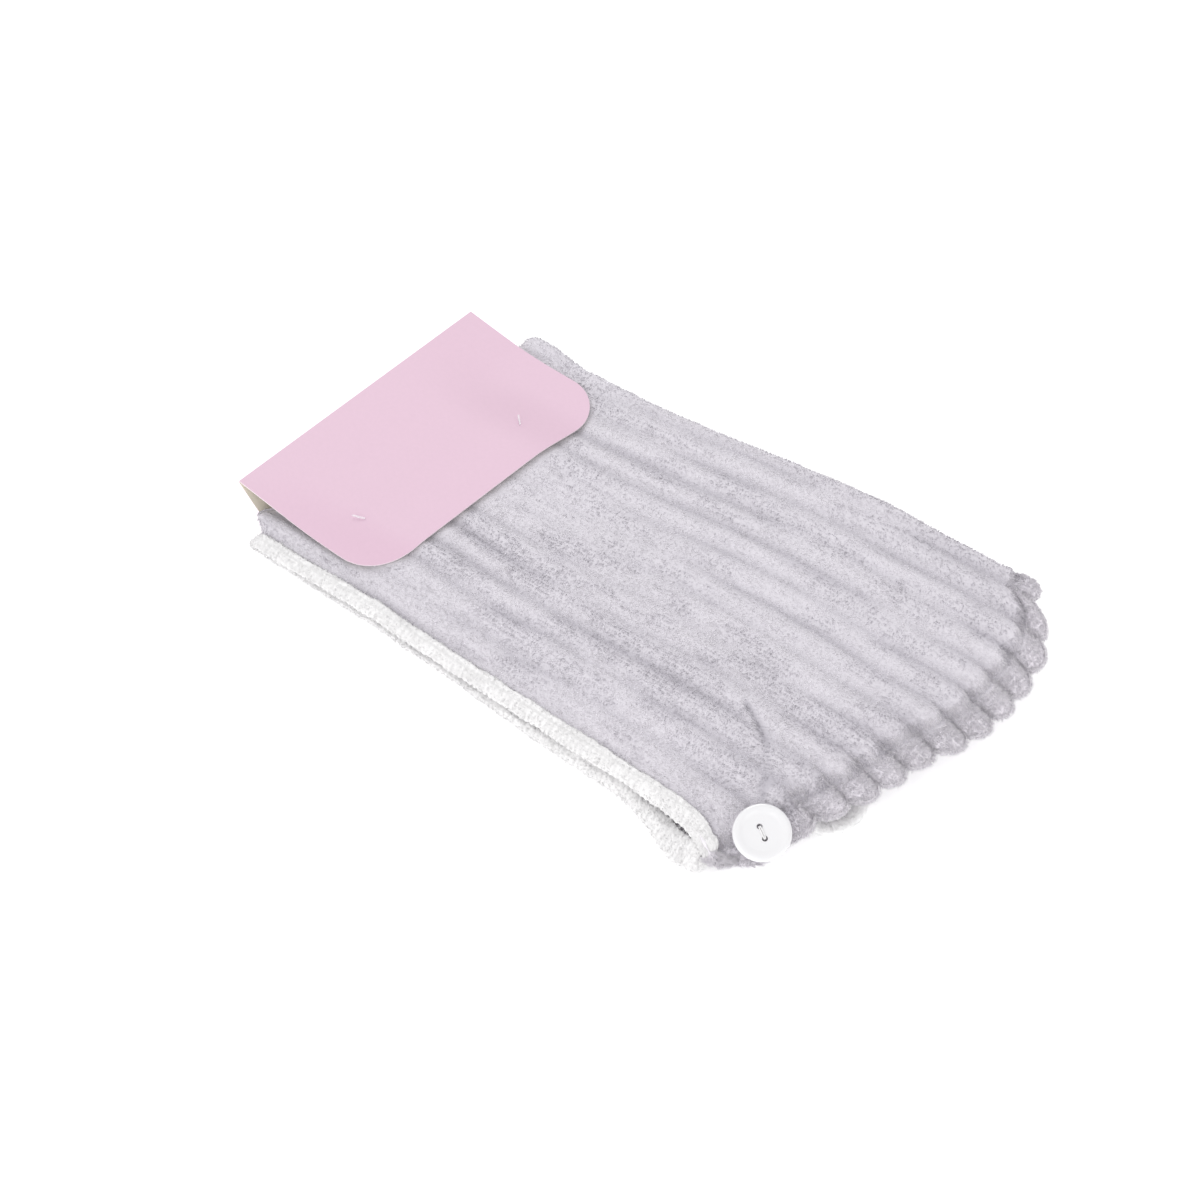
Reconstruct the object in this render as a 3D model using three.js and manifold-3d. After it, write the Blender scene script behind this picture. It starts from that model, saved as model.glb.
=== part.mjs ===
// A hair turban towel, folded flat in four, with the card that holds it.
// X runs along the ribs, from the folded side of the bag to its seam. Y runs from the mouth to the far
// fold. Z is up, and the floor is at zero. All sizes are in millimetres.

import * as THREE from "three";
import { mergeVertices } from "three/addons/utils/BufferGeometryUtils.js";
import Module from "manifold-3d";

const radians = THREE.MathUtils.degToRad;
const clamp = THREE.MathUtils.clamp;
const lerp = THREE.MathUtils.lerp;

// Cloth
const MOUTH_WIDTH = 250; // from the folded side to the seam corner, along the mouth
const FOLDED_DEPTH = 154; // from the mouth to the far fold, at the folded side
const DEPTH_GAIN = 25; // how much deeper it is by the seam
const DEPTH_EVEN = 0.4; // share of that gain which grows evenly; the rest comes in a soft step
const DEPTH_STEP = { from: 0.22, run: 0.56 }; // where that step lies, as shares of the mouth's width
const CORNER_BULGE = 4; // how far the far fold's end sticks out
const CORNER_PLACE = { at: 0.06, run: 0.06 };
const LAYER = 2.2; // one layer of fleece, rib and all
const RIB_PITCH = 11.9; // at the folded side
const RIB_RISE = 1.1;
const HOLLOW = 0.6; // between the two layers, away from the mouth
const PANEL_GAP = 0.4; // between two panels of the fold
const NEAR_FOLD_SETBACK = 27; // from the mouth to the middle of the near fold
const TAIL_SETBACK = 31; // from the mouth to the end of the tail
const END_ROLL = 5; // how far the soft rounding of a side reaches in
const UNEVEN = 0.35; // the slow rise and fall of the upper face, as three waves
const UNEVEN_WAVES = [
  { x: 31, y: 47, shift: 0 },
  { x: 67, y: -23, shift: 1.3 },
  { x: 120, y: 19, shift: 0 },
];

// Seam
const HEM = 11; // from the seam line to the tips of the scallops
const SCALLOP = 4.2; // depth of a scallop
const SEAM_PINCH = 0.9;
const SEAM_PINCH_RUN = 2.2;
const SEAM_DROP = 8.2; // how far the seam edge hangs below the panel
const SEAM_DROP_RUN = 20;
const DROP_ENDS = 34; // how far before the far fold the sides stop hanging
const FOLDED_SIDE_DROP = 5.5;
const FOLDED_SIDE_RUN = 18;

// Mouth
const MOUTH_HEIGHT = 14.2; // of the cloth's upper edge above its lower edge
const MOUTH_FLOOR_GAP = 0.6;
const MOUTH_MIDDLE = 0.45; // height of its middle line, as a share
const MOUTH_RUN = 32; // how far the upper layer takes to rise to the full height
const MOUTH_LOWER_RUN = 22; // the same for the lower layer
const MOUTH_CLOSE_SEAM = 24; // how far from the seam the mouth starts to close
const MOUTH_CLOSE_FOLD = 9;
const TUCK = 4.6; // how far the lower edge is tucked in by the folded side
const SLIDE = 5.2; // how far it has slid out again towards the seam
const SLIDE_STEP = { from: 0.24, run: 0.48 };
const SLUMP = 16; // how much further it slides out at the seam corner
const SLUMP_END = 0.96; // where it has slid out fully, as a share of the mouth's width
const SLUMP_RUN = 54;
const SLUMP_DEPTH = 34;

// Crease that runs to the button
const CREASE_DEPTH = 1.9;
const CREASE_WIDTH = 4.5;
const CREASE_LENGTH = 40;
const CREASE_END = 5; // how fast it fades out below the button
const CREASE_SWAY = { width: 3, run: 11 };
const CREASE_FROM = { x: 0.955, y: 0.15 }; // shares of the mouth's width and the folded depth
const CREASE_TOWARDS = 141; // degrees, from the seam side

// Binding
const BAND_WIDTH = 6.2;
const BAND_THICK = 4;
const BAND_BEND = 2.5; // radius of the line that the band follows round the mouth's ends
const BAND_GAP = 0.45; // between the band and the cloth's edge, which a seam closes
const BAND_LEAN = 0.5; // how far the upper run sinks for each millimetre in front of the mouth
const SEWN_GAP = 0.3; // between pieces that are sewn or pinned together

// Button
const BUTTON_DIAMETER = 24;
const BUTTON_THICK = 3.6;
const BUTTON_HOLE = 2.3;
const BUTTON_HOLE_PITCH = 6.3;
const BUTTON_FROM_SEAM = 9.5; // from the scallops' tips
const BUTTON_FROM_MOUTH = 9;
const BUTTON_SHANK = 2.8; // thread between the button and the cloth
const BUTTON_LEAN = 26; // degrees that it leans from flat
const BUTTON_TURN = -50; // degrees, the way it leans
const BUTTON_SPIN = -27; // degrees that its holes are turned about its own axis
const THREAD = 1.1;

// Tail loop
const STRAP_WIDTH = 6;
const STRAP_THICK = 1.7;

// Card
const CARD_LENGTH = 136; // along its fold
const CARD_FLAP = 82; // from its fold to a flap's edge
const CARD_THICK = 0.5;
const CARD_CORNER = 19;
const CARD_OVERHANG = 28.4; // of its fold beyond the folded side
const CARD_FROM_MOUTH = 11.5;
const CARD_TURN = 3.6; // degrees that it lies turned against the towel
const CARD_FOLD_HEIGHT = 17.6;
const CARD_CLEAR = 0.75; // between the card and the towel
const CARD_RISE_RUN = 60; // how far the front flap takes to climb on to the towel
const CARD_BACK_RUN = 29; // how far the back flap takes to reach the floor
const CARD_LIFT_RUN = 14; // how far beyond the back flap the towel takes to come down to the floor
const SQUEEZE = 0.2; // share by which the card presses the stack at its side
const SQUEEZE_RUN = 62;

// Tacks
const TACK_BAR = 6;
const TACK_WIRE = 0.9;
const TACK_HOLE = 1.5;

// Shares of the bag's length from the mouth, and of the mouth's width from the folded side.
const BAG_SIDES = [
  { at: 0, left: -0.02, right: 1.015 },
  { at: 0.015, left: -0.062, right: 1.04 },
  { at: 0.034, left: -0.03, right: 1.055 },
  { at: 0.05, left: -0.024, right: 1.066 },
  { at: 0.08, left: -0.02, right: 1.093 },
  { at: 0.125, left: -0.01, right: 1.116 },
  { at: 0.155, left: -0.004, right: 1.142 },
  { at: 0.185, left: 0.002, right: 1.15 },
  { at: 0.22, left: 0.014, right: 1.142 },
  { at: 0.247, left: 0.02, right: 1.122 },
  { at: 0.27, left: 0.022, right: 1.064 },
  { at: 0.31, left: 0.03, right: 1.005 },
  { at: 0.4, left: 0.06, right: 1.01 },
  { at: 0.53, left: 0.07, right: 0.94 },
  { at: 0.65, left: 0.08, right: 0.955 },
  { at: 0.77, left: 0.12, right: 1.0 },
  { at: 0.9, left: 0.5, right: 0.98 },
  { at: 1, left: 0.74, right: 0.965 },
];

// The strap's middle line: shares of the mouth's width and of the folded depth, and height in strap widths.
const STRAP_ROUTE = [
  { x: 0.974, y: 0.225, z: 2.1 },
  { x: 1.005, y: 0.175, z: 1.7 },
  { x: 1.045, y: 0.183, z: 0.8 },
  { x: 1.068, y: 0.23, z: 0.6 },
  { x: 1.07, y: 0.295, z: 0.62 },
  { x: 1.045, y: 0.355, z: 1.15 },
  { x: 1.005, y: 0.365, z: 1.85 },
  { x: 0.974, y: 0.345, z: 2.1 },
];

// The tacks: shares of the card's flap and of its length, and the way that the bar lies, in degrees.
const TACKS = [
  { out: 0.634, along: 0.13, turn: 21 },
  { out: 0.754, along: 0.747, turn: -42 },
];

const COLOURS = {
  fleece: 0xd2cfd7,
  knit: 0xeae8ea,
  button: 0xf7f6f8,
  thread: 0xf0eff0,
  strap: 0xebeaeb,
  card: 0xebcddd,
  clear: 0xe6e8ea,
};

// Divisions of a section across the bag: between its two ends, at its folded side as shares of the roll,
// and on its hem as shares of the hem. The hollow's columns are shares of the hollow's width.
const UPPER_COLUMNS = 10;
const LOWER_COLUMNS = 6;
const ROLL_COLUMN = 0.25;
const SEAM_COLUMNS = { even: 15, last: 4 }; // how far before the seam line the last columns lie
const HEM_COLUMNS = { inner: 0.55, outer: 0.12 };
const UPPER_ENDS = 8; // points of the upper side that aren't even columns
const HOLLOW_COLUMNS = [0.015, 0.1, 0.22, 0.38, 0.56, 0.74, 0.88, 0.97];
const HOLLOW_MARGIN = 4; // between the hollow and the seam
const HOLLOW_CREASE_SPREAD = 9; // how many times wider the hollow takes the crease to be

// Divisions along the bag: sections to a rib on the top panel, round the far fold and on the bottom
// panel, then to a hidden fold and a hidden panel. The hollow's first sections are distances.
const OUTER_DENSITY = { ribs: [4, 4, 3], fold: 5, panel: 6 };
const HOLLOW_DENSITY = { ribs: [0.5, 3, 0.4], fold: 5, panel: 4 };
const HOLLOW_ENTRY = [-4, 0, 2, 5, 9, 14, 19, 25, 32];

const BAND_SIDES = 8;
const BAND_END_STEPS = 3;
const BAND_SQUARENESS = 0.75; // under one, the band's section is squarer than an ellipse
const STRAP_SIDES = 8;
const STRAP_STEPS = 26;
const STRAP_SQUARENESS = 0.7;
const BUTTON_SIDES = 30;
const WIRE_SIDES = 8;

// Shares of the card's corner, of its length and of its flap at which it is divided.
const CARD_CORNER_SHARES = [0, 0.05, 0.16, 0.34, 0.6, 1];
const CARD_LENGTH_SHARES = [0.25, 0.4, 0.6, 0.8];
const CARD_FLAP_SHARES = [0, 0.06, 0.15, 0.26, 0.38, 0.52, 0.7];

// The button's profile from its middle underneath, as shares of its radius and of its thickness.
const BUTTON_PROFILE = [
  { r: 0, z: 0 },
  { r: 0.8, z: 0 },
  { r: 0.933, z: 0.25 },
  { r: 1, z: 0.55 },
  { r: 0.958, z: 0.85 },
  { r: 0.858, z: 1 },
  { r: 0.745, z: 0.94 },
  { r: 0.632, z: 0.75 },
  { r: 0, z: 0.75 },
];

const PANEL = 2 * LAYER + HOLLOW;
const STORE = PANEL + PANEL_GAP; // height that one panel of the stack takes
const LEVEL = {
  bottom: PANEL / 2,
  third: PANEL / 2 + STORE,
  fourth: PANEL / 2 + 2 * STORE,
  top: PANEL / 2 + 3 * STORE,
};
const FAR_FOLD = FOLDED_DEPTH - (LEVEL.top - LEVEL.bottom) / 2 - PANEL / 2;
const CARD_LIFT = CARD_THICK + CARD_CLEAR;
const CARD_REACH = CARD_FLAP - CARD_OVERHANG + CARD_LENGTH * Math.sin(radians(CARD_TURN)) + 1;
const DISH_HEIGHT = BUTTON_THICK * BUTTON_PROFILE.at(-1).z;

const wasm = await Module();
wasm.setup();

function ease(t) {
  const c = clamp(t, 0, 1);
  return c * c * (3 - 2 * c);
}

// Triangles that close a ring: its first part and the rest, turned round, are joined like a zip, each
// time by the shorter edge.
function capFaces(ring, split) {
  const faces = [];
  let near = 0;
  let far = ring.length - 1;
  while (near < split - 1 || far > split) {
    const ahead = near < split - 1 ? ring[near + 1].distanceTo(ring[far]) : Infinity;
    const behind = far > split ? ring[near].distanceTo(ring[far - 1]) : Infinity;
    if (ahead <= behind) {
      faces.push([near, far, near + 1]);
      near += 1;
    } else {
      faces.push([near, far, far - 1]);
      far -= 1;
    }
  }
  return faces;
}

// Closed body from a row of rings. The ends are capped, or the last ring joins the first. The split says
// how many points of a ring lie on its first side.
function bodyFromRings(rings, split, closedLoop = false) {
  const count = rings[0].length;
  const positions = rings.flat().flatMap((p) => [p.x, p.y, p.z]);
  const faces = [];
  const last = closedLoop ? rings.length : rings.length - 1;
  for (let i = 0; i < last; i++) {
    const a = i * count;
    const b = ((i + 1) % rings.length) * count;
    for (let j = 0; j < count; j++) {
      const k = (j + 1) % count;
      faces.push(a + j, b + k, b + j, a + j, a + k, b + k);
    }
  }
  if (!closedLoop) {
    const end = (rings.length - 1) * count;
    for (const [p, q, r] of capFaces(rings[0], split)) faces.push(p, q, r);
    for (const [p, q, r] of capFaces(rings.at(-1), split)) faces.push(end + p, end + r, end + q);
  }
  const geometry = new THREE.BufferGeometry();
  geometry.setAttribute("position", new THREE.Float32BufferAttribute(positions, 3));
  geometry.setIndex(faces);
  return geometry;
}

function solidOf(geometry) {
  const bare = geometry.clone();
  bare.deleteAttribute("normal");
  bare.deleteAttribute("uv");
  const merged = mergeVertices(bare, 1e-4);
  const mesh = new wasm.Mesh({
    numProp: 3,
    vertProperties: merged.attributes.position.array,
    triVerts: new Uint32Array(merged.index.array),
  });
  return new wasm.Manifold(mesh);
}

function geometryOf(solid) {
  const mesh = solid.getMesh();
  const positions = new Float32Array(mesh.numVert * 3);
  for (let i = 0; i < mesh.numVert; i++) {
    positions.set(mesh.vertProperties.subarray(i * mesh.numProp, i * mesh.numProp + 3), i * 3);
  }
  const geometry = new THREE.BufferGeometry();
  geometry.setAttribute("position", new THREE.BufferAttribute(positions, 3));
  geometry.setIndex(new THREE.BufferAttribute(new Uint32Array(mesh.triVerts), 1));
  return geometry;
}

// The route of the folded bag seen from its side, as straight panels and half circles.
const ROUTE = [
  { kind: "panel", from: 0, to: FAR_FOLD, z: LEVEL.top },
  { kind: "fold", y: FAR_FOLD, from: LEVEL.top, to: LEVEL.bottom, side: 1 },
  { kind: "panel", from: FAR_FOLD, to: NEAR_FOLD_SETBACK, z: LEVEL.bottom },
  { kind: "fold", y: NEAR_FOLD_SETBACK, from: LEVEL.bottom, to: LEVEL.third, side: -1 },
  { kind: "panel", from: NEAR_FOLD_SETBACK, to: FAR_FOLD, z: LEVEL.third },
  { kind: "fold", y: FAR_FOLD, from: LEVEL.third, to: LEVEL.fourth, side: 1 },
  { kind: "panel", from: FAR_FOLD, to: TAIL_SETBACK, z: LEVEL.fourth },
];
for (const piece of ROUTE) {
  const across = Math.abs(piece.to - piece.from);
  piece.length = piece.kind === "panel" ? across : (Math.PI * across) / 2;
}
const BAG_LENGTH = ROUTE.reduce((sum, piece) => sum + piece.length, 0);

// Middle line of the bag at a distance from the mouth, with the direction that its outer face looks.
function routeAt(distance) {
  let rest = distance;
  let index = 0;
  while (index < ROUTE.length - 1 && rest > ROUTE[index].length) {
    rest -= ROUTE[index].length;
    index += 1;
  }
  const piece = ROUTE[index];
  if (piece.kind === "panel") {
    const way = Math.sign(piece.to - piece.from);
    return { y: piece.from + way * rest, z: piece.z, ny: 0, nz: way, top: index === 0 };
  }
  const radius = Math.abs(piece.to - piece.from) / 2;
  const middle = (piece.from + piece.to) / 2;
  const angle = (Math.PI * rest) / piece.length;
  const start = Math.sign(piece.from - piece.to);
  const outward = { y: piece.side * Math.sin(angle), z: start * Math.cos(angle) };
  const face = start === piece.side ? 1 : -1;
  return {
    y: piece.y + radius * outward.y,
    z: middle + radius * outward.z,
    ny: face * outward.y,
    nz: face * outward.z,
    top: false,
  };
}

// Smooth value of a column of the sides table at a share of the bag's length.
function sideShare(column, share) {
  const rows = BAG_SIDES;
  let i = 0;
  while (i < rows.length - 2 && share > rows[i + 1].at) i += 1;
  const [a, b] = [rows[i], rows[i + 1]];
  const [before, after] = [rows[Math.max(i - 1, 0)], rows[Math.min(i + 2, rows.length - 1)]];
  const span = b.at - a.at;
  const t = clamp((share - a.at) / span, 0, 1);
  const slopeA = a === before ? 0 : ((b[column] - before[column]) / (b.at - before.at)) * span;
  const slopeB = b === after ? 0 : ((after[column] - a[column]) / (after.at - a.at)) * span;
  const t2 = t * t;
  const t3 = t2 * t;
  return (
    (2 * t3 - 3 * t2 + 1) * a[column] +
    (t3 - 2 * t2 + t) * slopeA +
    (3 * t2 - 2 * t3) * b[column] +
    (t3 - t2) * slopeB
  );
}

// One at a rib's crest and nought in the valley between two ribs. The mouth's edge runs along a valley.
function ribAt(distance) {
  return Math.abs(Math.sin((Math.PI * distance) / RIB_PITCH)) ** 0.7;
}

function sidesAt(distance) {
  const share = distance / BAG_LENGTH;
  const right = MOUTH_WIDTH * sideShare("right", share) - SCALLOP * (1 - ribAt(distance));
  return { left: MOUTH_WIDTH * sideShare("left", share), right };
}

// Half of a panel's thickness at a place across it: round at the folded side, pinched at the seam.
function halfThickness(x, { left, right }) {
  const fromLeft = clamp((x - left) / END_ROLL, 0, 1);
  const fromRight = clamp((right - x) / END_ROLL, 0, 1);
  const pinch = SEAM_PINCH * Math.exp(-(((right - HEM - x) / SEAM_PINCH_RUN) ** 2));
  const round = Math.sqrt(1 - (1 - fromLeft) ** 2) * Math.sqrt(1 - (1 - fromRight) ** 2);
  return (PANEL / 2) * round - pinch;
}

// How far the mouth gapes, as a share, at a place along it.
function gapeAt(x, { left, right }) {
  const fromSeam = clamp((right - HEM - x) / MOUTH_CLOSE_SEAM, 0, 1);
  const fromFold = clamp((x - left) / MOUTH_CLOSE_FOLD, 0, 1);
  return Math.sqrt(1 - (1 - fromSeam) ** 2) * Math.sqrt(1 - (1 - fromFold) ** 2);
}

// The crease: a groove that fades out along its length and is deepest at the button.
function creaseAt(x, y, spread) {
  const turn = radians(CREASE_TOWARDS);
  const dx = x - CREASE_FROM.x * MOUTH_WIDTH;
  const dy = y - CREASE_FROM.y * FOLDED_DEPTH;
  const along = dx * Math.cos(turn) + dy * Math.sin(turn);
  const sway = CREASE_SWAY.width * Math.sin(along / CREASE_SWAY.run);
  const aside = -dx * Math.sin(turn) + dy * Math.cos(turn) + sway;
  const fade = along < 0 ? Math.exp(-((along / CREASE_END) ** 2)) : 1 - ease(along / CREASE_LENGTH);
  return CREASE_DEPTH * fade * Math.exp(-((aside / (CREASE_WIDTH * spread)) ** 2));
}

function unevenAt(x, y) {
  const waves = UNEVEN_WAVES.map((wave) => Math.sin(x / wave.x + y / wave.y + wave.shift) - 1);
  return (UNEVEN * waves.reduce((sum, value) => sum + value, 0)) / waves.length;
}

// Heights of the upper and lower face of the top panel, before the whole is pressed and lifted.
function topPanel(x, y, sides, creaseSpread = 1) {
  const half = halfThickness(x, sides);
  const gape = gapeAt(x, sides);
  const edge =
    SEAM_DROP * ease((x - sides.right + SEAM_DROP_RUN) / SEAM_DROP_RUN) +
    FOLDED_SIDE_DROP * ease((sides.left + FOLDED_SIDE_RUN - x) / FOLDED_SIDE_RUN);
  const middle = LEVEL.top - edge * ease((FAR_FOLD - y) / DROP_ENDS);
  const mouthMiddle = MOUTH_FLOOR_GAP + MOUTH_HEIGHT * MOUTH_MIDDLE;
  const upper = 1 - ease(y / MOUTH_RUN);
  const lower = 1 - ease(y / MOUTH_LOWER_RUN);
  const mouthUpper = mouthMiddle + Math.max(half, MOUTH_HEIGHT * (1 - MOUTH_MIDDLE) * gape);
  const mouthLower = mouthMiddle - Math.max(half, MOUTH_HEIGHT * MOUTH_MIDDLE * gape);
  return {
    upper: lerp(middle + half, mouthUpper, upper) - creaseAt(x, y, creaseSpread) + unevenAt(x, y),
    lower: lerp(middle - half, mouthLower, lower),
  };
}

// The folded depth at a place across the towel, as a share of the depth at the folded side.
function deeperAt(x) {
  const across = x / MOUTH_WIDTH;
  const step = ease((across - DEPTH_STEP.from) / DEPTH_STEP.run);
  const gain = DEPTH_GAIN * lerp(step, across, DEPTH_EVEN);
  const bulge = CORNER_BULGE * Math.exp(-(((across - CORNER_PLACE.at) / CORNER_PLACE.run) ** 2));
  return 1 + (gain + bulge) / FOLDED_DEPTH;
}

// Places a point of the cloth: the far fold is askew, the card presses and lifts one side, and the lower
// edge of the mouth has slid out by the seam corner. In front of the mouth the upper edge sinks.
function settle(x, y, z) {
  const pressed = 1 - SQUEEZE * (1 - ease(x / SQUEEZE_RUN));
  const lifted = CARD_LIFT * (1 - ease((x - CARD_REACH) / CARD_LIFT_RUN));
  const low = clamp(1 - z / (MOUTH_HEIGHT + MOUTH_FLOOR_GAP), 0, 1);
  const across = x / MOUTH_WIDTH;
  const slide = SLIDE * ease((across - SLIDE_STEP.from) / SLIDE_STEP.run) - TUCK;
  const slump = SLUMP * ease((x - MOUTH_WIDTH * SLUMP_END) / SLUMP_RUN + 1);
  const slid = (slide + slump) * low * (1 - ease(y / SLUMP_DEPTH));
  const sunk = y < 0 ? (-y * BAND_LEAN * z) / MOUTH_HEIGHT : 0;
  const deep = y > 0 ? y * deeperAt(x) : y;
  return new THREE.Vector3(x, deep - slid, Math.max(z - sunk, 0) * pressed + lifted);
}

// Columns of a section across the bag, from the folded side to the seam and back underneath.
function sectionColumns(sides) {
  const { left, right } = sides;
  const seam = right - HEM;
  const inner = left + END_ROLL;
  const roll = left + END_ROLL * ROLL_COLUMN;
  const hem = [right - HEM * HEM_COLUMNS.inner, right - HEM * HEM_COLUMNS.outer];
  const upper = [roll, inner];
  const even = seam - SEAM_COLUMNS.even;
  for (let i = 1; i <= UPPER_COLUMNS; i++) upper.push(lerp(inner, even, i / UPPER_COLUMNS));
  upper.push(seam - SEAM_COLUMNS.last, seam, ...hem);
  const lower = [...hem.toReversed(), seam, seam - SEAM_COLUMNS.last];
  for (let i = 0; i <= LOWER_COLUMNS; i++) lower.push(lerp(even, inner, i / LOWER_COLUMNS));
  lower.push(roll);
  return { upper, lower };
}

function outerSection(distance) {
  const sides = sidesAt(distance);
  const place = routeAt(distance);
  const { upper, lower } = sectionColumns(sides);
  const valley = RIB_RISE * (1 - ribAt(distance));
  const put = (x, face) => {
    if (place.top) {
      const heights = topPanel(x, place.y, sides);
      const middle = (heights.upper + heights.lower) / 2;
      const outer = face > 0 ? heights.upper - valley : heights.lower;
      return settle(x, place.y, face === 0 ? middle : outer);
    }
    const half = halfThickness(x, sides);
    const off = face > 0 ? half - valley : face * half;
    return settle(x, place.y + place.ny * off, place.z + place.nz * off);
  };
  return [
    put(sides.left, 0),
    ...upper.map((x) => put(x, 1)),
    put(sides.right, 0),
    ...lower.map((x) => put(x, -1)),
  ];
}

// The hollow between the two layers, from just in front of the mouth to the tail.
function hollowSection(distance) {
  const sides = sidesAt(Math.max(distance, 0));
  const place = routeAt(Math.max(distance, 0));
  const from = sides.left + LAYER;
  const to = sides.right - HEM - SCALLOP * ribAt(Math.max(distance, 0)) - HOLLOW_MARGIN;
  const columns = HOLLOW_COLUMNS.map((share) => lerp(from, to, share));
  const wall = LAYER + RIB_RISE * 0.2;
  const put = (x, face) => {
    if (place.top) {
      const heights = topPanel(x, place.y, sides, HOLLOW_CREASE_SPREAD);
      const middle = (heights.upper + heights.lower) / 2;
      const half = Math.max((heights.upper - heights.lower) / 2 - wall, HOLLOW / 3);
      return settle(x, Math.min(place.y, distance), middle + face * half);
    }
    const off = (face * HOLLOW) / 2;
    return settle(x, place.y + place.ny * off, place.z + place.nz * off);
  };
  return [
    put(from, 0),
    ...columns.map((x) => put(x, 1)),
    put(to, 0),
    ...columns.toReversed().map((x) => put(x, -1)),
  ];
}

// Distances at which sections are made: close where the ribs show, wider where they don't.
function sectionDistances(density) {
  const distances = [];
  let start = 0;
  ROUTE.forEach((piece, index) => {
    const shown = index < density.ribs.length;
    const count = shown
      ? Math.max(Math.round((piece.length / RIB_PITCH) * density.ribs[index]), 1)
      : density[piece.kind];
    for (let i = 0; i < count; i++) distances.push(start + (piece.length * i) / count);
    start += piece.length;
  });
  distances.push(BAG_LENGTH);
  return distances;
}

function towelBody() {
  const rings = sectionDistances(OUTER_DENSITY).map(outerSection);
  const outer = solidOf(bodyFromRings(rings, UPPER_COLUMNS + UPPER_ENDS));
  const beyondEntry = (distance) => distance > HOLLOW_ENTRY.at(-1) + 4 && distance < BAG_LENGTH - LAYER;
  const places = [...HOLLOW_ENTRY, ...sectionDistances(HOLLOW_DENSITY).filter(beyondEntry)];
  const hollow = solidOf(bodyFromRings(places.map(hollowSection), HOLLOW_COLUMNS.length + 2));
  return outer.subtract(hollow);
}

const pieces = new THREE.Group();

function addPiece(name, geometry, colour, roughness) {
  const material = new THREE.MeshStandardMaterial({ color: colour, roughness, metalness: 0 });
  const mesh = new THREE.Mesh(geometry, material);
  mesh.name = name;
  pieces.add(mesh);
}

// Height of the smooth upper face of the towel, over the ribs' crests, at a settled place.
function towelTop(x, y) {
  const unskewed = clamp(y / deeperAt(x), 0, FAR_FOLD);
  const sides = sidesAt(unskewed);
  const middle = LEVEL.top + PANEL / 2;
  const upper = 1 - ease(unskewed / MOUTH_RUN);
  const edge = SEAM_DROP * ease((x - sides.right + SEAM_DROP_RUN) / SEAM_DROP_RUN);
  const height = lerp(middle - edge, MOUTH_FLOOR_GAP + MOUTH_HEIGHT, upper);
  return settle(x, unskewed, height).z;
}

// The mouth's edge as a closed line: along the upper layer, round the seam end, back along the lower
// layer and round the folded end. Each point has the direction that looks out of the mouth's line.
function mouthLine() {
  const sides = sidesAt(0);
  const radius = BAND_BEND;
  const from = sides.left + radius + LAYER * 0.4;
  const to = sides.right - HEM - radius;
  const middle = MOUTH_FLOOR_GAP + MOUTH_HEIGHT * MOUTH_MIDDLE;
  const { upper, lower } = sectionColumns(sides);
  const points = [];
  for (const way of [1, -1]) {
    const between = (way > 0 ? upper : lower).filter((x) => x > from + 1 && x < to - 1);
    const run = way > 0 ? [from, ...between, to] : [to, ...between, from];
    for (const x of run) {
      const heights = topPanel(x, 0, sides);
      const above = Math.max(heights.upper - LAYER / 2, middle + radius);
      const below = Math.min(Math.max(heights.lower + LAYER / 2, BAND_THICK / 2), middle - radius);
      points.push({ x, z: way > 0 ? above : below, nx: 0, nz: way });
    }
    for (let i = 1; i <= BAND_END_STEPS; i++) {
      const angle = (Math.PI * i) / (BAND_END_STEPS + 1);
      points.push({
        x: (way > 0 ? to : from) + way * radius * Math.sin(angle),
        z: middle + way * radius * Math.cos(angle),
        nx: way * Math.sin(angle),
        nz: way * Math.cos(angle),
      });
    }
  }
  return points;
}

// A point of a rounded oblong section that is one wide to each side, at one of its corners.
function oblong(corner, corners, squareness) {
  const angle = (2 * Math.PI * (corner + 0.5)) / corners;
  const round = (value) => Math.sign(value) * (Math.abs(value) / Math.cos(Math.PI / corners)) ** squareness;
  return { across: round(Math.cos(angle)), up: round(Math.sin(angle)) };
}

function openingBinding() {
  const rings = mouthLine().map((point) => {
    const ring = [];
    for (let i = 0; i < BAND_SIDES; i++) {
      const { across, up } = oblong(i, BAND_SIDES, BAND_SQUARENESS);
      const ahead = BAND_GAP + (BAND_WIDTH / 2) * (1 + up);
      const out = (BAND_THICK / 2) * across;
      ring.push(settle(point.x + point.nx * out, -ahead, point.z + point.nz * out));
    }
    return ring;
  });
  return bodyFromRings(rings, BAND_SIDES / 2, true);
}

function buttonPlace() {
  const sides = sidesAt(BUTTON_FROM_MOUTH);
  const x = sides.right - BUTTON_FROM_SEAM;
  const heights = topPanel(x, BUTTON_FROM_MOUTH, sides);
  const seat = settle(x, BUTTON_FROM_MOUTH, heights.upper);
  const lean = radians(BUTTON_LEAN);
  const turn = radians(BUTTON_TURN);
  const up = new THREE.Vector3(Math.sin(lean) * Math.cos(turn), Math.sin(lean) * Math.sin(turn), Math.cos(lean));
  return { seat, up };
}

// A body turned about its own upright axis, which then looks along the button's axis.
function onButtonAxis(solid, along) {
  const { seat, up } = buttonPlace();
  const turned = new THREE.Matrix4().makeRotationFromQuaternion(
    new THREE.Quaternion().setFromUnitVectors(new THREE.Vector3(0, 0, 1), up),
  );
  turned.setPosition(seat.clone().addScaledVector(up, along));
  return geometryOf(solid).rotateZ(radians(BUTTON_SPIN)).applyMatrix4(turned);
}

// An upright round post between two heights, at a distance along X.
function post(radius, from, to, x, segments = 10) {
  const cylinder = new THREE.CylinderGeometry(radius, radius, to - from, segments).rotateX(Math.PI / 2);
  return solidOf(cylinder.translate(x, 0, (from + to) / 2));
}

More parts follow.
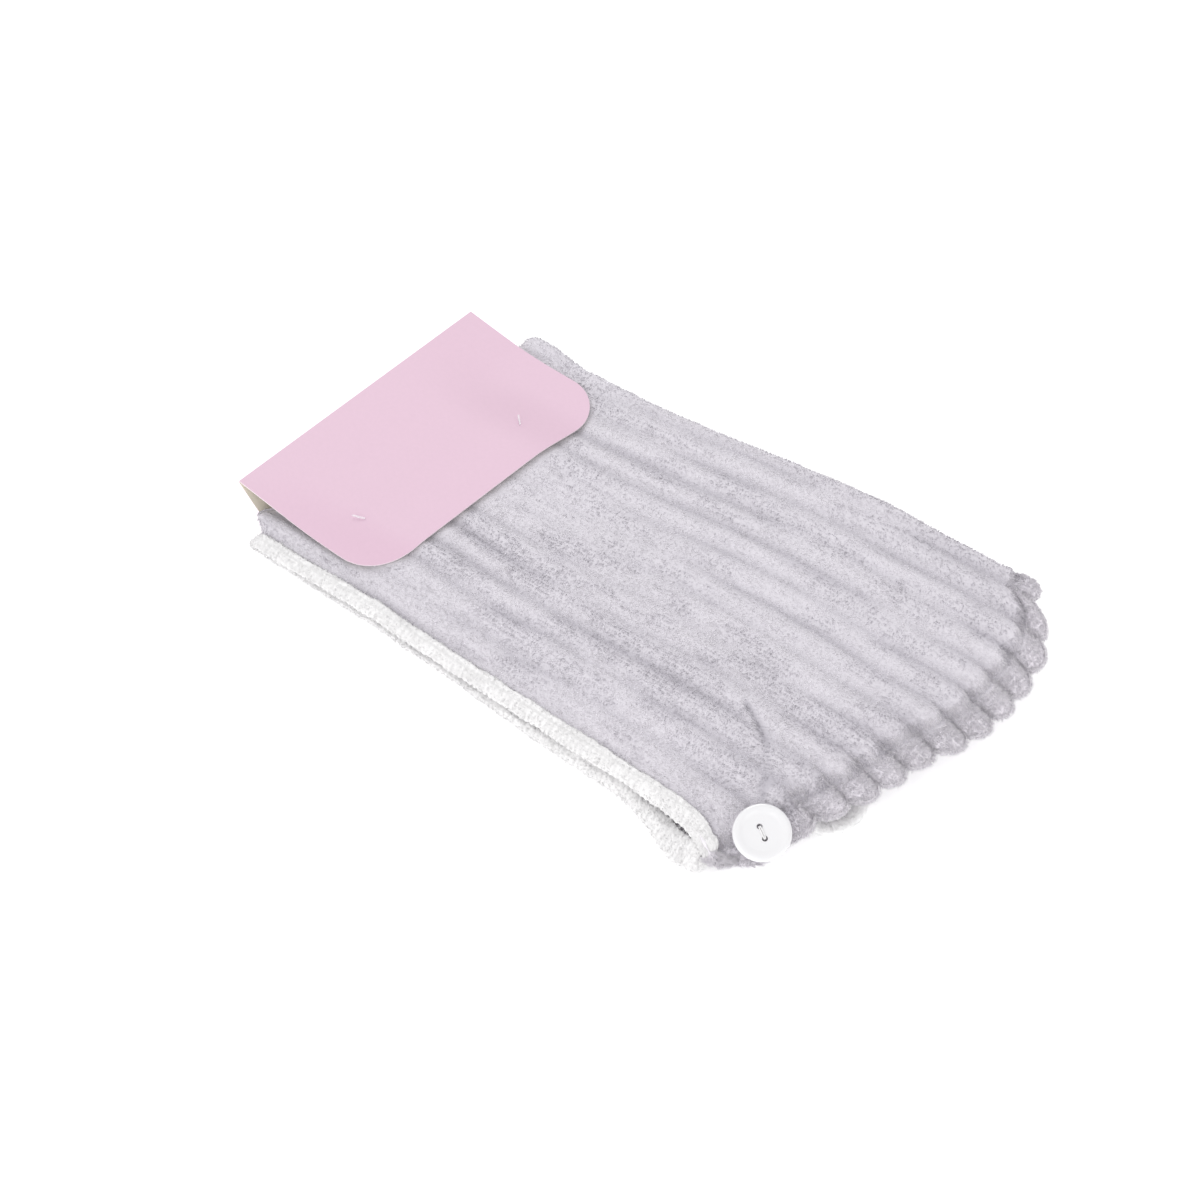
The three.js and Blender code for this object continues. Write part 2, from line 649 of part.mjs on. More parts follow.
function button() {
  const profile = BUTTON_PROFILE.map(
    (row) => new THREE.Vector2((row.r * BUTTON_DIAMETER) / 2, row.z * BUTTON_THICK),
  );
  const disc = solidOf(new THREE.LatheGeometry(profile, BUTTON_SIDES).rotateX(Math.PI / 2));
  const holes = [-1, 1].map((way) =>
    post(BUTTON_HOLE / 2, -1, BUTTON_THICK + 1, (way * BUTTON_HOLE_PITCH) / 2, 12),
  );
  return onButtonAxis(disc.subtract(holes[0]).subtract(holes[1]), BUTTON_SHANK + SEWN_GAP * 2);
}

// The sewing thread: a wound shank under the button, a leg up each hole and a stitch between the holes.
function buttonThread() {
  const top = DISH_HEIGHT + BUTTON_SHANK + SEWN_GAP * 2;
  const reach = BUTTON_HOLE_PITCH / 2;
  const shank = post(THREAD * 1.6, SEWN_GAP * 2.7, BUTTON_SHANK, 0, 12);
  const legTop = top + SEWN_GAP + THREAD / 2;
  const legs = [-reach, reach].map((x) => post(THREAD / 2, BUTTON_SHANK - THREAD, legTop, x));
  const bars = [BUTTON_SHANK - THREAD / 2, top + SEWN_GAP + THREAD / 4].map((z) =>
    solidOf(new THREE.BoxGeometry(BUTTON_HOLE_PITCH, THREAD * 0.8, THREAD / 2).translate(0, 0, z)),
  );
  return onButtonAxis([...legs, ...bars].reduce((sum, piece) => sum.add(piece), shank), 0);
}

function tailLoop() {
  const points = STRAP_ROUTE.map(
    (row) => new THREE.Vector3(row.x * MOUTH_WIDTH, row.y * FOLDED_DEPTH, row.z * STRAP_WIDTH),
  );
  const curve = new THREE.CatmullRomCurve3(points, false, "centripetal");
  const up = new THREE.Vector3(0, 0, 1);
  const rings = [];
  for (let i = 0; i <= STRAP_STEPS; i++) {
    const at = curve.getPointAt(i / STRAP_STEPS);
    const along = curve.getTangentAt(i / STRAP_STEPS);
    const side = along.clone().cross(up).normalize();
    const normal = side.clone().cross(along).normalize();
    const ring = [];
    for (let j = 0; j < STRAP_SIDES; j++) {
      const section = oblong(j, STRAP_SIDES, STRAP_SQUARENESS);
      const aside = (section.across * STRAP_WIDTH) / 2;
      ring.push(at.clone().addScaledVector(side, aside).addScaledVector(normal, (section.up * STRAP_THICK) / 2));
    }
    rings.push(ring.reverse());
  }
  return bodyFromRings(rings, STRAP_SIDES / 2);
}

// A place on the card: so far from its fold and so far along it, in the settled plan.
function onCard(out, along) {
  const turn = radians(CARD_TURN);
  return {
    x: -CARD_OVERHANG + out * Math.cos(turn) + along * Math.sin(turn),
    y: CARD_FROM_MOUTH - out * Math.sin(turn) + along * Math.cos(turn),
  };
}

// Heights of the undersides of the two flaps.
function frontFlapHeight(out, along) {
  const { x, y } = onCard(out, along);
  const rise = Math.sin((Math.PI / 2) * clamp(out / CARD_RISE_RUN, 0, 1));
  const start = CARD_FOLD_HEIGHT + SEWN_GAP / 2;
  return lerp(start, towelTop(Math.max(x, MOUTH_WIDTH * 0.03), y) + CARD_CLEAR, rise);
}

function backFlapHeight(out) {
  const start = CARD_FOLD_HEIGHT - SEWN_GAP / 2 - CARD_THICK;
  return start * (1 - Math.sin((Math.PI / 2) * clamp(out / CARD_BACK_RUN, 0, 1)));
}

function headerCard() {
  const ends = CARD_CORNER_SHARES.map((share) => share * CARD_CORNER);
  const inner = CARD_LENGTH_SHARES.map((share) => share * CARD_LENGTH);
  const places = [...ends, ...inner, ...ends.toReversed().map((place) => CARD_LENGTH - place)];
  const rings = places.map((along) => {
    const near = Math.min(along, CARD_LENGTH - along, CARD_CORNER);
    const inset = CARD_CORNER - Math.sqrt(CARD_CORNER ** 2 - (CARD_CORNER - near) ** 2);
    const reach = CARD_FLAP - inset;
    const outs = CARD_FLAP_SHARES.map((share) => share * (CARD_FLAP - CARD_CORNER));
    outs.push(lerp(outs.at(-1), reach, 0.5), reach);
    const point = (out, z) => {
      const { x, y } = onCard(out, along);
      return new THREE.Vector3(x, y, z);
    };
    return [
      ...outs.toReversed().map((out) => point(out, backFlapHeight(out))),
      point(-CARD_THICK, CARD_FOLD_HEIGHT),
      ...outs.map((out) => point(out, frontFlapHeight(out, along) + CARD_THICK)),
      ...outs.toReversed().map((out) => point(out, frontFlapHeight(out, along))),
      ...outs.map((out) => point(out, backFlapHeight(out) + CARD_THICK)),
    ];
  });
  return bodyFromRings(rings, (rings[0].length + 1) / 2);
}

// Where a tack goes through: a place on the card and the height of the card's upper face there.
function tackPlace({ out, along }) {
  const place = onCard(out * CARD_FLAP, along * CARD_LENGTH);
  return new THREE.Vector3(place.x, place.y, frontFlapHeight(out * CARD_FLAP, along * CARD_LENGTH) + CARD_THICK);
}

function tackHole(row) {
  const at = tackPlace(row);
  const depth = CARD_THICK + CARD_CLEAR + LAYER;
  return post(TACK_HOLE / 2, -depth, CARD_THICK, 0, WIRE_SIDES).translate([at.x, at.y, at.z]);
}

// A clear pin: a bar on the card and a wire that goes down into the cloth.
function tack(row) {
  const depth = CARD_THICK + CARD_CLEAR + LAYER - SEWN_GAP;
  const rise = SEWN_GAP * 2 + TACK_WIRE / 2;
  const radius = TACK_WIRE / 2;
  const wire = post(radius, -depth, rise, 0, WIRE_SIDES);
  const bar = new THREE.CylinderGeometry(radius, radius, TACK_BAR, WIRE_SIDES).rotateZ(Math.PI / 2);
  const pin = geometryOf(wire.add(solidOf(bar.translate(0, 0, rise))));
  const at = tackPlace(row);
  return pin.rotateZ(radians(row.turn)).translate(at.x, at.y, at.z);
}

const tackHoles = TACKS.map(tackHole);

function withTackHoles(solid) {
  return geometryOf(tackHoles.reduce((rest, hole) => rest.subtract(hole), solid));
}

const band = openingBinding();
const clearOfBand = towelBody().subtract(solidOf(band).translate([0, SEWN_GAP, 0]));

addPiece("towel_body", withTackHoles(clearOfBand), COLOURS.fleece, 0.95);
addPiece("opening_binding", band, COLOURS.knit, 0.9);
addPiece("button", button(), COLOURS.button, 0.2);
addPiece("button_thread", buttonThread(), COLOURS.thread, 0.8);
addPiece("tail_loop", tailLoop(), COLOURS.strap, 0.85);
addPiece("header_card", withTackHoles(solidOf(headerCard())), COLOURS.card, 0.6);
TACKS.forEach((row, i) => addPiece(`tack_${i + 1}`, tack(row), COLOURS.clear, 0.15));

// The part's origin is on the floor, under the middle of the whole.
const box = new THREE.Box3().setFromObject(pieces);
const middle = box.getCenter(new THREE.Vector3());
pieces.position.set(-middle.x, -middle.y, -box.min.z);

const part = new THREE.Group();
part.add(pieces);
export default part;
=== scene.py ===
"""A hair turban towel of ribbed fleece, folded flat, with the card that holds it.

Every piece is worked out in millimetres on the towel's own plan: x runs along the ribs from the folded
side to the seam, y from the mouth to the far fold and z up. on_part() moves it to the part's frame.
Where noise is asked for, each coordinate is divided by the size of the lumps, and the seed comes after.
"""

import math

import bpy
import numpy as np
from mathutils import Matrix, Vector


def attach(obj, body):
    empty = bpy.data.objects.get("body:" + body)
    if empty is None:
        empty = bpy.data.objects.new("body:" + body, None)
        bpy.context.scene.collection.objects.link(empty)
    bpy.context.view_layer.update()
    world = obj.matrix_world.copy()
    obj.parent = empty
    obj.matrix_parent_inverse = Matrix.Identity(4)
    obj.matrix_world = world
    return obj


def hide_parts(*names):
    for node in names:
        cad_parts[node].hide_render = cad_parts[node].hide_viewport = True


bl_info = {
    "name": "Folded turban towel",
    "version": (1, 0, 0),
    "blender": (4, 5, 0),
    "location": "3D View > Sidebar > Towel",
    "description": "Dresses a folded hair turban towel, its button, loop and card",
    "category": "Object",
}

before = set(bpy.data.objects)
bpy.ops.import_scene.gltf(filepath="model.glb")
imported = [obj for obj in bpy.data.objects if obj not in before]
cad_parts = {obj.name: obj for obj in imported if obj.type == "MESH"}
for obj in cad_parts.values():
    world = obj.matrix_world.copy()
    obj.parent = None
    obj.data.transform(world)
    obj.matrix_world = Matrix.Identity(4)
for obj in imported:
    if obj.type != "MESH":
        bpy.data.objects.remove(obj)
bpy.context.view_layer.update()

MM = 0.001
PLAN_ORIGIN = np.array([-129.258, -79.608, 0.0])  # the mouth's folded end, in the part's frame

# Cloth, in millimetres, as the solid model has it.
MOUTH_WIDTH = 250.0
FOLDED_DEPTH = 154.0
DEPTH_GAIN = 25.0
DEPTH_EVEN = 0.4
CORNER_BULGE = 4.0
LAYER = 2.2
HOLLOW = 0.6
PANEL_GAP = 0.4
NEAR_FOLD_SETBACK = 27.0
TAIL_SETBACK = 31.0
END_ROLL = 5.0
UNEVEN = 0.35
RIB_PITCH = 11.9
RIB_FLATNESS = 0.7
HEM = 11.0
SCALLOP = 4.2
SEAM_DROP = 8.2
SEAM_DROP_RUN = 20.0
DROP_ENDS = 34.0
FOLDED_SIDE_DROP = 5.5
FOLDED_SIDE_RUN = 18.0
MOUTH_HEIGHT = 14.2
MOUTH_FLOOR_GAP = 0.6
MOUTH_MIDDLE = 0.45
MOUTH_RUN = 32.0
MOUTH_LOWER_RUN = 22.0
MOUTH_CLOSE_SEAM = 24.0
MOUTH_CLOSE_FOLD = 9.0
TUCK = 4.6
SLIDE = 5.2
SLUMP = 16.0
SLUMP_END = 0.96
SLUMP_RUN = 54.0
SLUMP_DEPTH = 34.0
CREASE_FROM = (0.955, 0.15)
CREASE_TOWARDS = 141.0
CREASE_LENGTH = 40.0
CREASE_SWAY = 3.0
CREASE_SWAY_RUN = 11.0
CREASE_START = 5.0
CREASE_TROUGH = 4.5
CREASE_LINE = 0.9
CREASE_DEPTHS = (1.5, 1.3, 1.8)  # of its trough, its line and its dimple
DIMPLE_NEARER = 3.5
BAND_WIDTH = 6.2
BAND_THICK = 4.0
BAND_BEND = 2.5
BAND_GAP = 0.45
BAND_LEAN = 0.5
STITCH = 2.7  # from stitch to stitch of the knitted band
CARD_LENGTH = 136.0
CARD_FLAP = 82.0
CARD_THICK = 0.5
CARD_CORNER = 22.0
CARD_OVERHANG = 28.4
CARD_FROM_MOUTH = 11.5
CARD_TURN = 3.6
CARD_FOLD_HEIGHT = 17.6
CARD_CLEAR = 0.75
CARD_RISE_RUN = 60.0
CARD_BACK_RUN = 29.0
CARD_LIFT_RUN = 14.0
SQUEEZE = 0.2
SQUEEZE_RUN = 62.0
FAR_PRESS = 0.2
SEWN_GAP = 0.3

# Shares of the bag's length from the mouth, and of the mouth's width from the folded side.
BAG_AT = (
    0, 0.015, 0.034, 0.05, 0.08, 0.125, 0.155, 0.185, 0.22,
    0.247, 0.27, 0.31, 0.4, 0.53, 0.65, 0.77, 0.9, 1,
)
BAG_LEFT = (
    -0.034, -0.068, -0.034, -0.026, -0.02, -0.01, -0.004, 0.002, 0.014,
    0.02, 0.022, 0.03, 0.06, 0.07, 0.08, 0.12, 0.5, 0.74,
)
BAG_RIGHT = (
    1.015, 1.04, 1.055, 1.066, 1.093, 1.116, 1.142, 1.15, 1.142,
    1.122, 1.064, 1.005, 1.01, 0.94, 0.955, 1.0, 0.98, 0.965,
)

# The strap's middle line: shares of the mouth's width and of the folded depth, height in strap widths.
STRAP_ROUTE = (
    (0.974, 0.225, 2.1), (1.005, 0.175, 1.7), (1.045, 0.183, 0.8), (1.068, 0.23, 0.6),
    (1.07, 0.295, 0.62), (1.045, 0.355, 1.15), (1.005, 0.365, 1.85), (0.974, 0.345, 2.1),
)
STRAP_WIDTH = 6.0
STRAP_THICK = 2.3

PANEL = 2 * LAYER + HOLLOW
STORE = PANEL + PANEL_GAP
LEVELS = PANEL / 2 + STORE * np.arange(4)  # bottom, third, fourth and top panel
FAR_FOLD = FOLDED_DEPTH - (LEVELS[3] - LEVELS[0]) / 2 - PANEL / 2
CARD_LIFT = CARD_THICK + CARD_CLEAR
CARD_REACH = CARD_FLAP - CARD_OVERHANG + CARD_LENGTH * math.sin(math.radians(CARD_TURN)) + 1

# The bag's route from the side: (is a fold, y from or middle, y to, z from, z to, side of the fold).
ROUTE = (
    (False, 0.0, FAR_FOLD, LEVELS[3], LEVELS[3], 0),
    (True, FAR_FOLD, FAR_FOLD, LEVELS[3], LEVELS[0], 1),
    (False, FAR_FOLD, NEAR_FOLD_SETBACK, LEVELS[0], LEVELS[0], 0),
    (True, NEAR_FOLD_SETBACK, NEAR_FOLD_SETBACK, LEVELS[0], LEVELS[1], -1),
    (False, NEAR_FOLD_SETBACK, FAR_FOLD, LEVELS[1], LEVELS[1], 0),
    (True, FAR_FOLD, FAR_FOLD, LEVELS[1], LEVELS[2], 1),
    (False, FAR_FOLD, TAIL_SETBACK, LEVELS[2], LEVELS[2], 0),
)
LENGTHS = [math.pi * abs(z1 - z0) / 2 if fold else abs(y1 - y0) for fold, y0, y1, z0, z1, side in ROUTE]
STARTS = np.concatenate([[0.0], np.cumsum(LENGTHS)])
BAG_LENGTH = STARTS[-1]

# The bag's grid: how many columns lie on each zone of its upper and lower layer, and how many rows on each
# stretch of the route and inside.
ROLL_COLUMNS, MIDDLE_COLUMNS, HEM_COLUMNS = (10, 7), (126, 40), (28, 12)
HEM_ZONE = 22.0
OUTER_ROWS = (160, 26, 62, 8, 14, 8, 14)
INNER_ROWS = (0, 3, 7, 12, 18, 25, 33)
INNER_STRETCH = 7  # rows inside on each stretch of the route
RIM_ROWS = 9
PILE_ROOM = 0.4  # how far the cloth lies inside the solid's face, so that its pile reaches that face
HEM_ROOM = 1.3  # the same at the seam's edge, where the pile stands outwards
SINK = 0.9  # how far the hollow lies under the middle of the two layers, so that no valley reaches it
CORNER_PUFF = 4.6  # how far the rim puffs out beyond the binding's end

# Pile: how long and how wide a clump is, on the hem and elsewhere, and how many strands are painted dark as
# shade.
HEM_CLUMP = (2.8, 1.5)
OPEN_CLUMP = (1.2, 1.9)
SHADE_DASH_SHARE = 0.16
ROOT_DEPTH = 0.25
STRAND_CORNERS = (0, 2.094, 4.189)  # angles round a strand
LATTICE = 257  # points along each side of a noise's lattice


# Shapes


def ease(t):
    """Smooth step: nought below 0, one above 1, with level ends."""
    c = np.clip(t, 0, 1)
    return c * c * (3 - 2 * c)


def step(value, start, run):
    """Smooth step that begins at the start and ends a run further on."""
    return ease((value - start) / run)


def bell(t):
    return np.exp(-(t**2))


def lerp(a, b, t):
    return a + (b - a) * t


def quarter_round(t):
    """Quarter circle: nought at 0 and one from 1 on."""
    return np.sqrt(1 - (1 - np.clip(t, 0, 1)) ** 2)


def fuller(wave, power):
    """A sine or cosine whose size is raised to a power, which makes a round squarer."""
    return np.sign(wave) * np.abs(wave) ** power


def unit(vectors, least=1e-6):
    return vectors / np.maximum(np.linalg.norm(vectors, axis=-1, keepdims=True), least)


def circle_angles(count):
    return np.linspace(0, 2 * np.pi, count, endpoint=False)


def lattice_noise(u, v, seed):
    """Smooth noise from -1 to 1: random values on a square lattice, eased between the four corners."""
    values = np.random.default_rng(seed).uniform(-1, 1, (LATTICE, LATTICE))
    i, j = np.floor(u).astype(int), np.floor(v).astype(int)
    s, t = ease(u - i), ease(v - j)
    i0, j0, i1, j1 = i % LATTICE, j % LATTICE, (i + 1) % LATTICE, (j + 1) % LATTICE
    return lerp(lerp(values[i0, j0], values[i1, j0], s), lerp(values[i0, j1], values[i1, j1], s), t)


def cloud(u, v, seed, octaves=3):
    """Sum of noises, each twice as fine and half as strong as the one before."""
    total = sum(lattice_noise(u * 2**k, v * 2**k, seed + k) / 2**k for k in range(octaves))
    return total / (2 - 0.5 ** (octaves - 1))


def side_share(values, share):
    """Cubic curve through the rows of the sides table, with slopes taken from each row's neighbours."""
    at, values = np.array(BAG_AT, float), np.array(values)
    slope = np.gradient(values, at)
    slope[1:-1] = (values[2:] - values[:-2]) / (at[2:] - at[:-2])
    slope[0] = slope[-1] = 0
    i = np.clip(np.searchsorted(at, share, side="right") - 1, 0, len(at) - 2)
    span = at[i + 1] - at[i]
    t = np.clip((share - at[i]) / span, 0, 1)
    return (
        (2 * t**3 - 3 * t**2 + 1) * values[i]
        + (t**3 - 2 * t**2 + t) * slope[i] * span
        + (3 * t**2 - 2 * t**3) * values[i + 1]
        + (t**3 - t**2) * slope[i + 1] * span
    )


def rib_at(distance):
    """One at a rib's crest and nought in the valley: a sine's size, flattened a little."""
    return np.abs(np.sin(np.pi * distance / RIB_PITCH)) ** RIB_FLATNESS


def sides_at(distance):
    share = distance / BAG_LENGTH
    left = MOUTH_WIDTH * side_share(BAG_LEFT, share)
    right = MOUTH_WIDTH * side_share(BAG_RIGHT, share) - SCALLOP * (1 - rib_at(distance))
    return left, right


def route_at(distance):
    """Middle line of the folded bag at a distance from the mouth: straight panels and half circles. Gives
    y, z, the outward direction of the bag's first layer and whether the place is on the top panel."""
    y, z, ny, nz = (np.zeros_like(distance) for _ in range(4))
    for i, (fold, y0, y1, z0, z1, side) in enumerate(ROUTE):
        first, last = i == 0, i == len(ROUTE) - 1
        here = ((distance > STARTS[i]) | first) & ((distance <= STARTS[i + 1]) | last)
        rest = distance[here] - STARTS[i]
        if fold:
            radius, angle = abs(z1 - z0) / 2, np.pi * rest / LENGTHS[i]
            start = np.sign(z0 - z1)
            face = 1 if start == side else -1
            out_y, out_z = side * np.sin(angle), start * np.cos(angle)
            y[here], z[here] = y0 + radius * out_y, (z0 + z1) / 2 + radius * out_z
            ny[here], nz[here] = face * out_y, face * out_z
        else:
            way = np.sign(y1 - y0)
            y[here], z[here], nz[here] = y0 + way * rest, z0, way
    return y, z, ny, nz, distance <= STARTS[1]


def half_thickness(x, left, right):
    """Half of a panel's thickness, with a quarter round at each side."""
    return PANEL / 2 * (quarter_round((x - left) / END_ROLL) * quarter_round((right - x) / END_ROLL))


def gape_at(x, left, right):
    """How far the mouth is open: one in the middle, with a quarter round down to each end."""
    from_seam = quarter_round((right - HEM - x) / MOUTH_CLOSE_SEAM)
    return from_seam * quarter_round((x - left) / MOUTH_CLOSE_FOLD)


def crease_shares(x, y):
    """The crease as three shares: its wide trough, the sharp line in it and the dimple at its end. Each is a
    bell across the crease's swaying line. The line is deepest, and its painted shade darkest, towards its far
    end."""
    turn = math.radians(CREASE_TOWARDS)
    dx, dy = x - CREASE_FROM[0] * MOUTH_WIDTH, y - CREASE_FROM[1] * FOLDED_DEPTH + DIMPLE_NEARER
    along = dx * math.cos(turn) + dy * math.sin(turn)
    sway = CREASE_SWAY * np.sin(along / CREASE_SWAY_RUN)
    aside = -dx * math.sin(turn) + dy * math.cos(turn) + sway
    before = along < 0
    fade = np.where(before, bell(along / CREASE_START), 1 - ease(along / CREASE_LENGTH))
    dark = np.where(before, fade, 0.4 + 0.6 * step(along, 14, 9)) * (1 - step(along, 36, 6))
    dimple = np.exp(-((along - 1) ** 2 + aside**2) / 5)
    return fade * bell(aside / CREASE_TROUGH), dark * bell(aside / CREASE_LINE), dimple


def crease_at(x, y):
    """Depth of the crease."""
    return sum(depth * share for depth, share in zip(CREASE_DEPTHS, crease_shares(x, y)))


def crease_line(x, y):
    """One in the crease's sharp line and its dimple, nought away from them."""
    trough, line, dimple = crease_shares(x, y)
    return np.clip(line + dimple, 0, 1)


def uneven_at(x, y):
    """Slow waves that lower the top a little, never above it."""
    waves = np.sin(x / 31 + y / 47) + np.sin(x / 67 - y / 23 + 1.3) + np.sin(x / 120 + y / 19)
    return UNEVEN * (waves - 3) / 3


def seam_drop(x, right):
    return SEAM_DROP * ease((x - right + SEAM_DROP_RUN) / SEAM_DROP_RUN)


def top_panel(x, y, left, right):
    """Heights of the upper and the lower face of the top panel, before it is pressed and lifted."""
    half, gape = half_thickness(x, left, right), gape_at(x, left, right)
    edge = seam_drop(x, right) + FOLDED_SIDE_DROP * ease((left + FOLDED_SIDE_RUN - x) / FOLDED_SIDE_RUN)
    middle = LEVELS[3] - edge * ease((FAR_FOLD - y) / DROP_ENDS)
    mouth = MOUTH_FLOOR_GAP + MOUTH_HEIGHT * MOUTH_MIDDLE
    mouth_upper = mouth + np.maximum(half, MOUTH_HEIGHT * (1 - MOUTH_MIDDLE) * gape)
    mouth_lower = mouth - np.maximum(half, MOUTH_HEIGHT * MOUTH_MIDDLE * gape)
    upper = lerp(middle + half, mouth_upper, 1 - ease(y / MOUTH_RUN)) - crease_at(x, y) + uneven_at(x, y)
    return upper, lerp(middle - half, mouth_lower, 1 - ease(y / MOUTH_LOWER_RUN))


def deeper_at(x):
    """How many times deeper the towel is folded at x: more towards the seam, with a bulge at the corner."""
    across = x / MOUTH_WIDTH
    gain = DEPTH_GAIN * lerp(step(across, 0.22, 0.56), across, DEPTH_EVEN)
    return 1 + (gain + CORNER_BULGE * bell((across - 0.06) / 0.06)) / FOLDED_DEPTH


def settle(x, y, z):
    """Places cloth: the far fold is askew, the card presses and lifts one side, the mouth's lower edge has
    slid out by the seam corner, and its upper edge sinks in front of the mouth."""
    pressed = 1 - SQUEEZE * (1 - ease(x / SQUEEZE_RUN))
    lifted = CARD_LIFT * (1 - step(x, CARD_REACH, CARD_LIFT_RUN))
    low = np.clip(1 - z / (MOUTH_HEIGHT + MOUTH_FLOOR_GAP), 0, 1)
    slide = SLIDE * step(x / MOUTH_WIDTH, 0.24, 0.48) - TUCK
    slump = SLUMP * ease((x - MOUTH_WIDTH * SLUMP_END) / SLUMP_RUN + 1)
    slid = (slide + slump) * low * (1 - ease(y / SLUMP_DEPTH))
    sunk = np.where(y < 0, -y * BAND_LEAN * z / MOUTH_HEIGHT, 0)
    deep = np.where(y > 0, y * deeper_at(x), y)
    far_corner = step(deep, 95, 35) * (1 - step(deep, 147, 9)) * (1 - step(x, 58, 22))
    pressed = pressed - FAR_PRESS * far_corner
    return np.stack([x + 0 * deep, deep - slid, np.maximum(z - sunk, 0) * pressed + lifted], -1)


def towel_top(x, y):
    """Height of the smooth upper face of the towel, over the ribs' crests."""
    flat = np.clip(y / deeper_at(x), 0, FAR_FOLD)
    edge = seam_drop(x, sides_at(flat)[1])
    upper = 1 - ease(flat / MOUTH_RUN)
    height = lerp(LEVELS[3] + PANEL / 2 - edge, MOUTH_FLOOR_GAP + MOUTH_HEIGHT, upper)
    return settle(x, flat, height)[..., 2]


def grid_normals(points):
    """Unit normals of a grid whose rows are closed, from the cross product of its central differences."""
    ring = np.roll(points, -1, 1) - np.roll(points, 1, 1)
    return unit(np.cross(ring, np.gradient(points, axis=0)), 1e-9)


def zone_columns(left, right, layer):
    """x from the folded side to the seam: close on the two rolls and on the hem, even between them."""
    rolls, middles, hems = ROLL_COLUMNS[layer], MIDDLE_COLUMNS[layer], HEM_COLUMNS[layer]
    turn = np.linspace(0, np.pi / 2, rolls, endpoint=False)
    roll = END_ROLL * (1 - np.cos(turn))
    hem = np.linspace(HEM_ZONE, END_ROLL, hems)
    last = END_ROLL * (1 - np.cos(np.linspace(np.pi / 2, 0, rolls + 3)))[1:]
    inner, outer = left + END_ROLL, right - HEM_ZONE
    middle = inner + (outer - inner) * np.linspace(0, 1, middles, endpoint=False)[None, :]
    return np.concatenate([left + roll, middle, right - hem, right - last], axis=1)


def bag_columns(left, right):
    """x of every column round the bag, and its face: 1 on the first layer, -1 on the second, 0 between."""
    left, right = left[:, None], right[:, None]
    upper, lower = zone_columns(left, right, 0), zone_columns(left, right, 1)[:, 1:-1][:, ::-1]
    face = np.concatenate([np.ones(upper.shape[1]), -np.ones(lower.shape[1])])[None, :]
    face[0, [0, upper.shape[1] - 1]] = 0
    return np.concatenate([upper, lower], axis=1), face + 0 * left


def arc_along(points, start):
    """Length along each row of the grid from its first point, plus a start for every row."""
    steps = np.linalg.norm(np.diff(points, axis=1), axis=-1)
    return start[:, None] + np.concatenate([np.zeros((len(points), 1)), np.cumsum(steps, axis=1)], axis=1)


def bag_outside(look):
    """The bag's outer face: the middle line plus half the thickness, less the valleys between ribs and the
    pinch of the seam with its pits, plus the puffs outside the seam and slow lumps of the pile."""
    rows = [np.linspace(STARTS[i], STARTS[i + 1], n, endpoint=False) for i, n in enumerate(OUTER_ROWS)]
    run = np.concatenate([*rows, [BAG_LENGTH]])
    left, right = sides_at(run)
    x, face = bag_columns(left + PILE_ROOM, right - HEM_ROOM)
    y, z, ny, nz, top = (value[:, None] for value in route_at(run))
    x0, x1, d = left[:, None] + PILE_ROOM, right[:, None] - HEM_ROOM, run[:, None] + 0 * x
    body = step(x, x0, 9) * ease((x1 - x) / 5)

    # Ribs: they wander and fade except near the seam.
    calm = step(x1 - x, 20, 40)
    wander = 1.8 * cloud(x / 50, d / 22, 5, 2) * calm
    strength = lerp(0.85, np.clip(0.6 + 1.1 * cloud(x / 60, d / 13, 8, 3), 0.15, 1.2), calm)
    rib = rib_at(d + wander)
    round_rib = np.sin(np.pi * (d + wander) / RIB_PITCH) ** 2
    valley = look.rib_depth / MM * strength * (0.5 * (1 - rib) + 0.5 * (1 - round_rib))
    lumps = cloud(x / 30, d / 8, 3) * 0.55 + cloud(x / 8, d / 4, 11) * 0.25

    # Hem: a pinch along the seam, a tuft by it and a puff outside it, each rib's a little different.
    lobe = 1.4 * cloud(0 * x + 3, d / 9, 15, 2)
    seam = bell((x1 - HEM + lobe - x) / 1.7)
    pinch = seam * (1.0 + 1.2 * (1 - rib) ** 2)
    tuft = 0.5 * bell((x1 - HEM - 4 + lobe - x) / 2.2) * rib
    puff = step(x, x1 - HEM + 1, 4) * ease((x1 - x) / 4) * (1 + 0.5 * lobe)

    half = half_thickness(x, x0, x1)
    relief = lumps * body - valley - pinch + tuft + 0.9 * puff * (rib - 0.6) - PILE_ROOM * body
    relief = np.maximum(relief, 0.35 - half) * (face != 0)
    upper, lower = top_panel(x, np.minimum(y, FAR_FOLD), x0, x1)
    raised = np.maximum(upper + relief, lower + 1.2)
    under = np.where(face < 0, np.minimum(lower - relief, raised - 0.7), (upper + lower) / 2)
    height = np.where(face > 0, raised, under)
    off = face * (half + relief)
    points = settle(x, np.where(top, y, y + ny * off) + 0 * x, np.where(top, height, z + nz * off))
    # Painted shade for the valley attribute: darker in the valleys between ribs, in the seam's pinch and
    # pits, and along the crease's line and dimple.
    mark = (0.3 * (1 - round_rib) + 0.4 * (1 - rib) ** 3) * strength * body
    mark = mark + 0.3 * pinch + 0.35 * seam * (1 - rib) ** 2 + crease_line(x, y) * top
    return {
        "points": points, "x": x, "face": face, "run": d, "mark": np.clip(mark, 0, 1),
        "top": (face >= 0) & (d <= STARTS[2]), "arc": arc_along(points, left), "out": grid_normals(points),
    }


